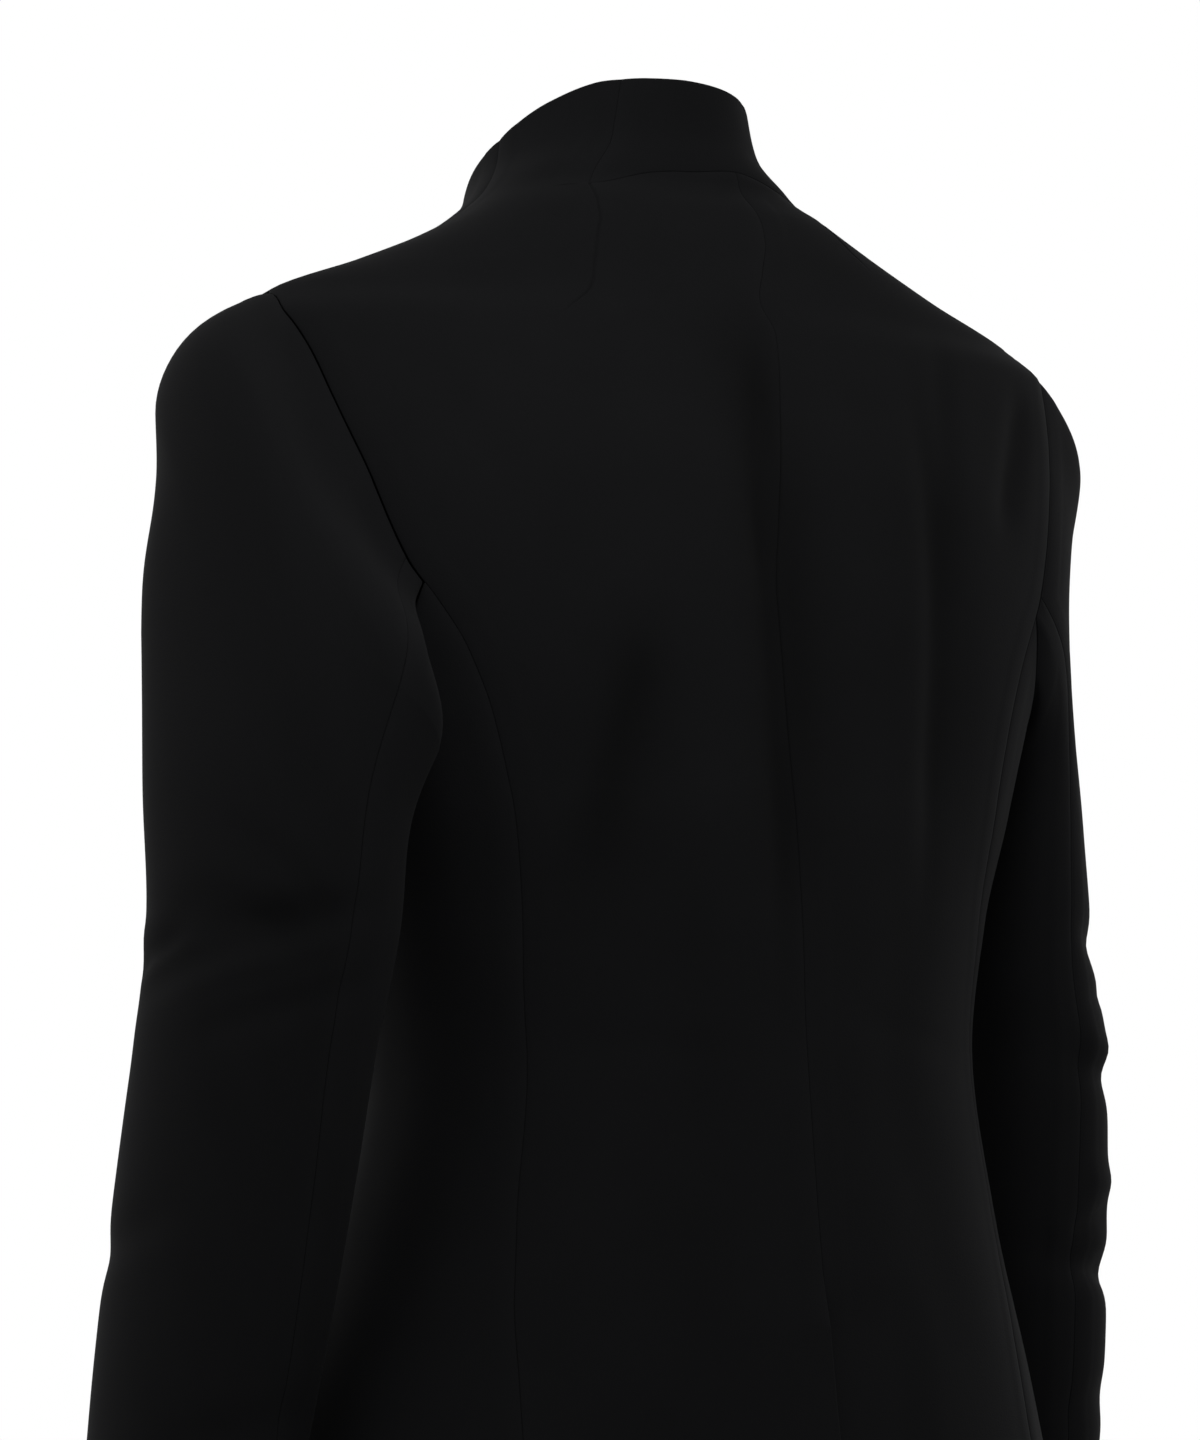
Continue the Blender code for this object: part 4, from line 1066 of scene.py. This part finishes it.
def even_rows(grid, row):
    """A grid whose columns bend evenly where the sleeve head runs into the tube."""
    for _ in range(BEND_PASSES):
        near = np.exp(-(((np.arange(len(grid)) - row) / BEND_ROWS) ** 2))[:, None, None] * 0.5
        middle = grid.copy()
        middle[1:-1] = (grid[:-2] + grid[2:]) / 2
        gap_before = np.linalg.norm(grid[1:-1] - grid[:-2], axis=-1, keepdims=True)
        gap_after = np.linalg.norm(grid[2:] - grid[1:-1], axis=-1, keepdims=True)
        weight = gap_before / (gap_before + gap_after)
        middle[1:-1] = grid[:-2] + (grid[2:] - grid[:-2]) * weight
        grid = grid + near * (middle - grid)
    return grid


make_sleeve("left")
make_sleeve("right")

# %% [markdown]
# ## Node groups for the cloth
# Wool crepe is matte and very dark, and its surface is a fine, irregular pebble. Two noises
# of unlike size read in metres along the cloth give a grain without a regular beat, which a
# woven pattern would show at this distance. The groups give only masks and values, and each
# material keeps its own shader.

# %% Node groups
def new_group(name, inputs, outputs):
    """A shader node group with float inputs and outputs given by name."""
    group = bpy.data.node_groups.new(name, "ShaderNodeTree")
    for label, kind, value in inputs:
        socket = group.interface.new_socket(label, in_out="INPUT", socket_type=kind)
        if value is not None:
            socket.default_value = value
    for label, kind in outputs:
        group.interface.new_socket(label, in_out="OUTPUT", socket_type=kind)
    return group, group.nodes.new("NodeGroupInput"), group.nodes.new("NodeGroupOutput")


def add(tree, kind, inputs, **settings):
    """A node with its settings, and each input set to a value or linked to a socket."""
    node = tree.nodes.new(kind)
    for name, value in settings.items():
        setattr(node, name, value)
    for name, value in inputs.items():
        if isinstance(value, bpy.types.NodeSocket):
            tree.links.new(value, node.inputs[name])
        else:
            node.inputs[name].default_value = value
    return node


def noise(tree, place, scale, detail, roughness=0.5):
    """A noise read at a place, with features about 1/scale metres wide."""
    inputs = {"Vector": place, "Scale": scale, "Detail": detail, "Roughness": roughness}
    return add(tree, "ShaderNodeTexNoise", inputs).outputs["Fac"]


def math_node(tree, operation, a, b):
    """A math node between two sockets or numbers."""
    return add(tree, "ShaderNodeMath", {0: a, 1: b}, operation=operation).outputs[0]


grain, grain_in, grain_out = new_group(
    "crepe_grain",
    [("Vector", "NodeSocketVector", None), ("Fine", "NodeSocketFloat", 0.6)],
    [("Height", "NodeSocketFloat"), ("Tone", "NodeSocketFloat")],
)
place = grain_in.outputs["Vector"]
pebble = noise(grain, place, 900.0, 1.0)
yarn = noise(grain, place, 2400.0, 0.0)
patch = noise(grain, place, 14.0, 3.0, 0.55)
fine = math_node(grain, "MULTIPLY", yarn, grain_in.outputs["Fine"])
height = math_node(grain, "ADD", pebble, fine)
grain.links.new(height, grain_out.inputs["Height"])
grain.links.new(patch, grain_out.inputs["Tone"])
print("group:", grain.name)

# %% [markdown]
# ## The wool crepe
# The cloth's own shader keeps its roughness and its faint sheen on the shader's sockets. The seams
# are painted a little paler: partly light wear, and partly a painted highlight on their rolled
# edges. The bottoms of the folds get painted shade, darker where the trough is deeper.


# %% The wool crepe
PAINTED_FOLD_SHADE = 0.50         # how much painted shade darkens the bottom of a fold
WEAR_AND_HIGHLIGHT = 0.10               # how much paler a seam is painted: a little wear and a painted highlight


def plain_material(name, colour, roughness, specular=0.5):
    """A material of one colour."""
    material = bpy.data.materials.new(name)
    material.use_nodes = True
    shader = material.node_tree.nodes["Principled BSDF"]
    shader.inputs["Base Color"].default_value = (*colour, 1.0)
    shader.inputs["Roughness"].default_value = roughness
    shader.inputs["Specular IOR Level"].default_value = specular
    return material


def wool(name, tone):
    """Matte black wool crepe."""
    material = bpy.data.materials.new(name)
    material.use_nodes = True
    tree = material.node_tree
    shader = tree.nodes["Principled BSDF"]
    shader.inputs["Roughness"].default_value = 0.88
    shader.inputs["Specular IOR Level"].default_value = 0.10
    shader.inputs["Sheen Weight"].default_value = 0.02
    shader.inputs["Sheen Roughness"].default_value = 0.55
    shader.inputs["Sheen Tint"].default_value = (0.5, 0.5, 0.52, 1.0)
    metres = add(tree, "ShaderNodeUVMap", {}, uv_map="cloth").outputs["UV"]
    group = add(tree, "ShaderNodeGroup", {"Vector": metres}, node_tree=grain)
    seam = add(tree, "ShaderNodeAttribute", {}, attribute_name="seam").outputs["Fac"]
    fold_shade_mask = add(tree, "ShaderNodeAttribute", {}, attribute_name="fold_shade_mask").outputs["Fac"]
    patches = {"Value": group.outputs["Tone"], "From Min": 0.25, "From Max": 0.75}
    shade = add(tree, "ShaderNodeMapRange", patches | {"To Min": 0.88, "To Max": 1.12})
    # The seams are painted paler, for a little wear and a painted highlight on their rolled edges.
    lit = math_node(tree, "ADD", shade.outputs["Result"], math_node(tree, "MULTIPLY", seam, WEAR_AND_HIGHLIGHT))
    # Painted shade darkens the cloth at the bottoms of the folds.
    total = math_node(tree, "ADD", lit, math_node(tree, "MULTIPLY", fold_shade_mask, -PAINTED_FOLD_SHADE))
    colour = add(tree, "ShaderNodeVectorMath", {0: tone, "Scale": total}, operation="SCALE")
    tree.links.new(colour.outputs["Vector"], shader.inputs["Base Color"])
    relief_of = {"Strength": 0.35, "Distance": 0.00025, "Height": group.outputs["Height"]}
    bump = add(tree, "ShaderNodeBump", relief_of)
    tree.links.new(bump.outputs["Normal"], shader.inputs["Normal"])
    return material


black_wool = wool("black_wool_crepe", (0.0044, 0.0045, 0.0050))
for piece in cloth.values():
    piece.data.materials.append(black_wool)
print("cloth pieces:", len(cloth))

# %% [markdown]
# ## The buttons
# Plain four-hole buttons in black resin, a little dished, 22 mm across. The blank is turned
# from a profile and the holes are drilled with a boolean, as on a real one. The picture shows
# none of them, so their size and number are those of a usual jacket of this cut.

# %% The buttons
BUTTON_RADIUS = 0.0110
BUTTON_CLEAR = 0.0003     # what a button stands off the cloth
BUTTON_COLUMN = 0.056     # from the centre front
BUTTON_TOP = -0.245
BUTTON_STEP = 0.105
BUTTON_ROWS = 3
HOLE_RADIUS = 0.0010
HOLE_PITCH = 0.0017       # a hole's distance from the middle, along each axis
DRILL = ((0.0, 0.006), (HOLE_RADIUS, 0.006), (HOLE_RADIUS, -0.002), (0.0, -0.002))


def turned(profile, count):
    """Points and faces of a closed body turned from a profile of radii and heights."""
    angle = np.linspace(0.0, 2 * math.pi, count, endpoint=False)
    points = [(0.0, 0.0, profile[0][1])]
    for radius, rise in profile[1:-1]:
        points += [(radius * math.cos(a), radius * math.sin(a), rise) for a in angle]
    points.append((0.0, 0.0, profile[-1][1]))
    last = len(points) - 1
    faces = []
    for k in range(count):
        after = (k + 1) % count
        faces.append((0, 1 + k, 1 + after))
        for row in range(len(profile) - 3):
            low, high = 1 + row * count, 1 + (row + 1) * count
            faces.append((low + k, high + k, high + after, low + after))
        low = 1 + (len(profile) - 3) * count
        faces.append((low + k, last, low + after))
    return points, faces


def final_mesh(thing):
    """The mesh that an object's modifiers make. The object itself is removed."""
    bpy.context.view_layer.update()
    state = bpy.context.evaluated_depsgraph_get()
    mesh = bpy.data.meshes.new_from_object(thing.evaluated_get(state))
    bpy.data.objects.remove(thing, do_unlink=True)
    return mesh


def button_blank():
    """A button's mesh, lying flat with its back at height 0."""
    profile = [
        (0.0, 0.0030), (0.0052, 0.0030), (0.0064, 0.0031), (0.0072, 0.0035), (0.0079, 0.0040),
        (0.0087, 0.0042), (0.0096, 0.0041), (0.0103, 0.0037), (0.0108, 0.0031), (0.0110, 0.0024),
        (0.0110, 0.0016), (0.0107, 0.0008), (0.0100, 0.0003), (0.0090, 0.0000), (0.0, 0.0000),
    ]
    points, faces = turned(profile, 64)
    blank_mesh = bpy.data.meshes.new("blank")
    blank_mesh.from_pydata(points, [], faces)
    blank = new_object("blank", blank_mesh)
    drill_points, drill_faces = [], []
    for sx in (-1, 1):
        for sy in (-1, 1):
            rod, sides = turned(DRILL, 16)
            start = len(drill_points)
            drill_points += [(x + sx * HOLE_PITCH, y + sy * HOLE_PITCH, z) for x, y, z in rod]
            drill_faces += [tuple(start + i for i in face) for face in sides]
    drill_mesh = bpy.data.meshes.new("drill")
    drill_mesh.from_pydata(drill_points, [], drill_faces)
    drill = new_object("drill", drill_mesh)
    drilling = blank.modifiers.new("drilling", "BOOLEAN")
    drilling.operation = "DIFFERENCE"
    drilling.object = drill
    drilling.solver = "EXACT"
    mesh = final_mesh(blank)
    bpy.data.objects.remove(drill, do_unlink=True)
    mesh.shade_smooth()
    mesh.set_sharp_from_angle(angle=math.radians(40))
    return mesh


def front_point(x, height):
    """Points of the closed front's outer layer at a place across it."""
    turn = -np.sign(x) * turn_at(np.abs(x), height)
    plain = ring(turn, height)
    lift = relief(plain, height) + lap_step(plain, height)
    return plain + normal(turn, height) * lift[..., None]


def button_seat(x, height):
    """A matrix that lays a button on the closed front."""
    around = np.linspace(0.0, 2 * math.pi, 24, endpoint=False)
    across = np.concatenate([[0.0], np.cos(around)]) * BUTTON_RADIUS
    along = np.concatenate([[0.0], np.sin(around)]) * BUTTON_RADIUS
    cloth_points = front_point(x + across, height + along)
    out = unit(np.cross(cloth_points[1] - cloth_points[13], cloth_points[7] - cloth_points[19]))
    out = out if out[1] < 0 else -out
    proud = ((cloth_points - cloth_points[0]) @ out).max()
    seat = cloth_points[0] + out * (proud + BUTTON_CLEAR)
    sideways = unit(np.cross([0.0, 0.0, 1.0], out))
    upward = np.cross(out, sideways)
    return Matrix.Translation(seat) @ Matrix([sideways, upward, out]).transposed().to_4x4()


resin = plain_material("black_resin", (0.006, 0.006, 0.007), 0.42, specular=0.35)
blank = button_blank()
buttons = []
for row in range(BUTTON_ROWS):
    for x in (-BUTTON_COLUMN, BUTTON_COLUMN):
        mesh = blank.copy()
        mesh.transform(button_seat(x, BUTTON_TOP - row * BUTTON_STEP))
        mesh.materials.append(resin)
        buttons.append(new_object("resin_button_%d" % (len(buttons) + 1), mesh))
print("buttons:", len(buttons), "with", len(blank.polygons), "faces each")

# %% [markdown]
# ## Thread
# The column by the free edge is the one that buttons, so worked buttonholes run out from
# under its buttons. Their edges are close purl stitches, and each button is held by strands
# across its holes. Both are one small Geometry Nodes tree that lays a plump stitch on every
# point of a row, along the directions that the row carries.

# %% Thread
HOLE_LENGTH = 0.024
HOLE_START = 0.060        # from the centre front, just outside the button's middle
PURL_PITCH = 0.00060
PURL_LENGTH = 0.0022
STRAND_LENGTH = 0.0046
STRANDS = 3
STRAND_PITCH = 0.00045
BUTTON_FACE = 0.0031      # height of the strands over a button's back
PURL_ASIDE = 0.55         # a stitch's middle off the buttonhole, as a share of its length
PURL_ABOVE = 0.0002


def stitch_tree():
    """Lays one stitch on every point, along its own directions."""
    tree = bpy.data.node_groups.new("laid_stitches", "GeometryNodeTree")
    tree.interface.new_socket("Geometry", in_out="INPUT", socket_type="NodeSocketGeometry")
    for label in ("Stitch Length", "Thread Radius"):
        tree.interface.new_socket(label, in_out="INPUT", socket_type="NodeSocketFloat")
    tree.interface.new_socket("Thread", in_out="INPUT", socket_type="NodeSocketMaterial")
    tree.interface.new_socket("Geometry", in_out="OUTPUT", socket_type="NodeSocketGeometry")
    start = add(tree, "NodeGroupInput", {}).outputs
    ball = add(tree, "GeometryNodeMeshUVSphere", {"Segments": 8, "Rings": 7, "Radius": 1.0})
    half = math_node(tree, "MULTIPLY", start["Stitch Length"], 0.5)
    sizes = {"X": half, "Y": start["Thread Radius"], "Z": start["Thread Radius"]}
    size = add(tree, "ShaderNodeCombineXYZ", sizes).outputs["Vector"]
    shape = {"Geometry": ball.outputs["Mesh"], "Scale": size}
    plump = add(tree, "GeometryNodeTransform", shape)
    turned_to = []
    for axis, name in (("X", "along"), ("Z", "out")):
        kind = "GeometryNodeInputNamedAttribute"
        way = add(tree, kind, {}, data_type="FLOAT_VECTOR")
        way.inputs["Name"].default_value = name
        wanted = {"Vector": way.outputs["Attribute"]}
        turned_to.append(add(tree, "FunctionNodeAlignRotationToVector", wanted, axis=axis))
    turned_to[1].pivot_axis = "X"
    tree.links.new(turned_to[0].outputs["Rotation"], turned_to[1].inputs["Rotation"])
    laid = add(
        tree,
        "GeometryNodeInstanceOnPoints",
        {
            "Points": start["Geometry"],
            "Instance": plump.outputs["Geometry"],
            "Rotation": turned_to[1].outputs["Rotation"],
        },
    )
    real = add(tree, "GeometryNodeRealizeInstances", {"Geometry": laid.outputs["Instances"]})
    dyed = {"Geometry": real.outputs["Geometry"], "Material": start["Thread"]}
    dye = add(tree, "GeometryNodeSetMaterial", dyed)
    add(tree, "NodeGroupOutput", {"Geometry": dye.outputs["Geometry"]})
    return tree


def lay_stitches(name, tree, rows, length, radius, material):
    """A piece made of one stitch for each row of place, direction and facing."""
    rows = np.array(rows, float)
    guide = bpy.data.meshes.new(name + "_guide")
    guide.from_pydata(rows[:, 0].tolist(), [], [])
    for label, column in (("along", 1), ("out", 2)):
        layer = guide.attributes.new(label, "FLOAT_VECTOR", "POINT")
        layer.data.foreach_set("vector", rows[:, column].reshape(-1).astype(np.float32))
    holder = new_object(name + "_guide", guide)
    sewing = holder.modifiers.new("sewing", "NODES")
    sewing.node_group = tree
    items = tree.interface.items_tree
    sockets = {item.name: item.identifier for item in items if item.in_out == "INPUT"}
    sewing[sockets["Stitch Length"]] = length
    sewing[sockets["Thread Radius"]] = radius
    sewing[sockets["Thread"]] = material
    mesh = final_mesh(holder)
    mesh.name = name
    mesh.shade_smooth()
    piece = new_object(name, mesh)
    print(name, len(rows), "stitches,", len(mesh.polygons), "faces")
    return piece


def on_front(x, height):
    """A place on the closed front with its sideways, upward and outward directions."""
    spots = front_point(np.array([x, x + 0.001, x]), np.array([height, height, height + 0.001]))
    sideways, upward = unit(spots[1] - spots[0]), unit(spots[2] - spots[0])
    out = unit(np.cross(sideways, upward))
    out = out if out[1] < 0 else -out
    return spots[0], sideways, upward, out


thread = plain_material("black_thread", (0.009, 0.009, 0.010), 0.5)
sewing_tree = stitch_tree()
purl = []
strands = []
for row in range(BUTTON_ROWS):
    level = BUTTON_TOP - row * BUTTON_STEP
    for x in np.arange(HOLE_START - HOLE_LENGTH, HOLE_START, PURL_PITCH):
        spot, sideways, upward, out = on_front(x, level)
        for side in (-1, 1):
            place = spot + upward * side * PURL_LENGTH * PURL_ASIDE + out * PURL_ABOVE
            purl.append((place, upward, out))
    spot, sideways, upward, out = on_front(HOLE_START - HOLE_LENGTH, level)
    for angle in np.radians(np.arange(100, 261, 20)):
        way = sideways * math.cos(angle) + upward * math.sin(angle)
        purl.append((spot + way * PURL_LENGTH * PURL_ASIDE + out * PURL_ABOVE, way, out))
    for x in (-BUTTON_COLUMN, BUTTON_COLUMN):
        seat = button_seat(x, level)
        axes = np.array(seat.to_3x3().transposed())
        for side in (-1, 1):
            for strand in range(STRANDS):
                aside = side * HOLE_PITCH + (strand - (STRANDS - 1) / 2) * STRAND_PITCH
                above = BUTTON_FACE + 0.0001 * (strand % 2)
                spot = np.array(seat @ Vector((0.0, aside, above)))
                strands.append((spot, axes[0], axes[2]))
sewn = [
    lay_stitches("buttonhole_stitches", sewing_tree, purl, PURL_LENGTH, 0.00034, thread),
    lay_stitches("button_thread", sewing_tree, strands, STRAND_LENGTH, 0.00024, thread),
]

# %% [markdown]
# ## The floor and the light
# The picture has a bare white ground and a large, soft light. A pale floor lies well below
# the hem. The world is a white band around the horizon, which is the picture's ground, and
# less light comes from above, from below and from behind the camera. A small panel close to
# the left shoulder brightens it, and a large one overhead shapes the folds.

# %% The floor and the light
FLOOR_LEVEL = -1.300
FLOOR_REACH = 9.0
BRIGHT_SIDE = (0.05, -1.00, 0.0)
DIM = 0.60                # brightness of the room behind the camera
KEY_PLACE = (0.32, 0.64, 0.14)
# The world's brightness over the sine of the height above the horizon
WORLD_BAND = ((-1.0, 0.20), (-0.45, 0.25), (-0.30, 1.0), (0.38, 1.0), (0.50, 0.30), (0.999, 0.30))


def panel(name, place, aim, size, power):
    """A square area light that looks at a point."""
    data = bpy.data.lights.new(name, "AREA")
    data.shape = "SQUARE"
    data.size = size
    data.energy = power
    light = new_object(name, data)
    light.location = place
    light.visible_camera = False
    light.rotation_euler = (Vector(aim) - Vector(place)).to_track_quat("-Z", "Y").to_euler()
    return light


floor_mesh = bpy.data.meshes.new("floor")
corners = [
    (x * FLOOR_REACH, y * FLOOR_REACH, FLOOR_LEVEL)
    for x, y in ((-1, -1), (1, -1), (1, 1), (-1, 1))
]
floor_mesh.from_pydata(corners, [], [(0, 1, 2, 3)])
floor = new_object("floor", floor_mesh)
floor_mesh.materials.append(plain_material("pale_floor", (0.78, 0.78, 0.78), 0.9))
world = bpy.data.worlds.new("white_room")
world.use_nodes = True
tree = world.node_tree
direction = add(tree, "ShaderNodeTexCoord", {}).outputs["Generated"]
upwards_share = add(tree, "ShaderNodeSeparateXYZ", {"Vector": direction}).outputs["Z"]
rise = add(tree, "ShaderNodeMapRange", {"Value": upwards_share, "From Min": -1.0})
band = add(tree, "ShaderNodeValToRGB", {"Fac": rise.outputs["Result"]})
facing = add(
    tree, "ShaderNodeVectorMath", {0: direction, 1: BRIGHT_SIDE}, operation="DOT_PRODUCT"
).outputs["Value"]
sides = {"Value": facing, "From Min": -0.5, "From Max": 0.5, "To Min": DIM}
strength = add(tree, "ShaderNodeMapRange", sides, interpolation_type="SMOOTHSTEP")
tree.links.new(band.outputs["Color"], tree.nodes["Background"].inputs["Color"])
tree.links.new(strength.outputs["Result"], tree.nodes["Background"].inputs["Strength"])
stops = band.color_ramp.elements
for place, value in WORLD_BAND:
    stop = stops.new((place + 1.0) / 2.0)
    stop.color = (value, value, value, 1.0)
stops.remove(stops[0])
stops.remove(stops[-1])
bpy.context.scene.world = world
panel("key", KEY_PLACE, (0.0, 0.0, 0.0), 0.4, 2.3)
panel("overhead", (0.6, 0.8, 2.6), (0.0, 0.0, -0.2), 2.0, 13.0)
bpy.context.scene.view_settings.view_transform = "Standard"
bpy.context.scene.view_settings.look = "None"
print("floor at", FLOOR_LEVEL)

# %% [markdown]
# ## Declarations
# Each cloth piece and each button hides the solid that it stands for and goes with the root body,
# and so does the thread.

# %% Declarations
for node, piece in cloth.items():
    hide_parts(node)
    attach(piece, "root")
for number, button in enumerate(buttons, 1):
    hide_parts("button_%d" % number)
    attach(button, "root")
for piece in sewn:
    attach(piece, "root")
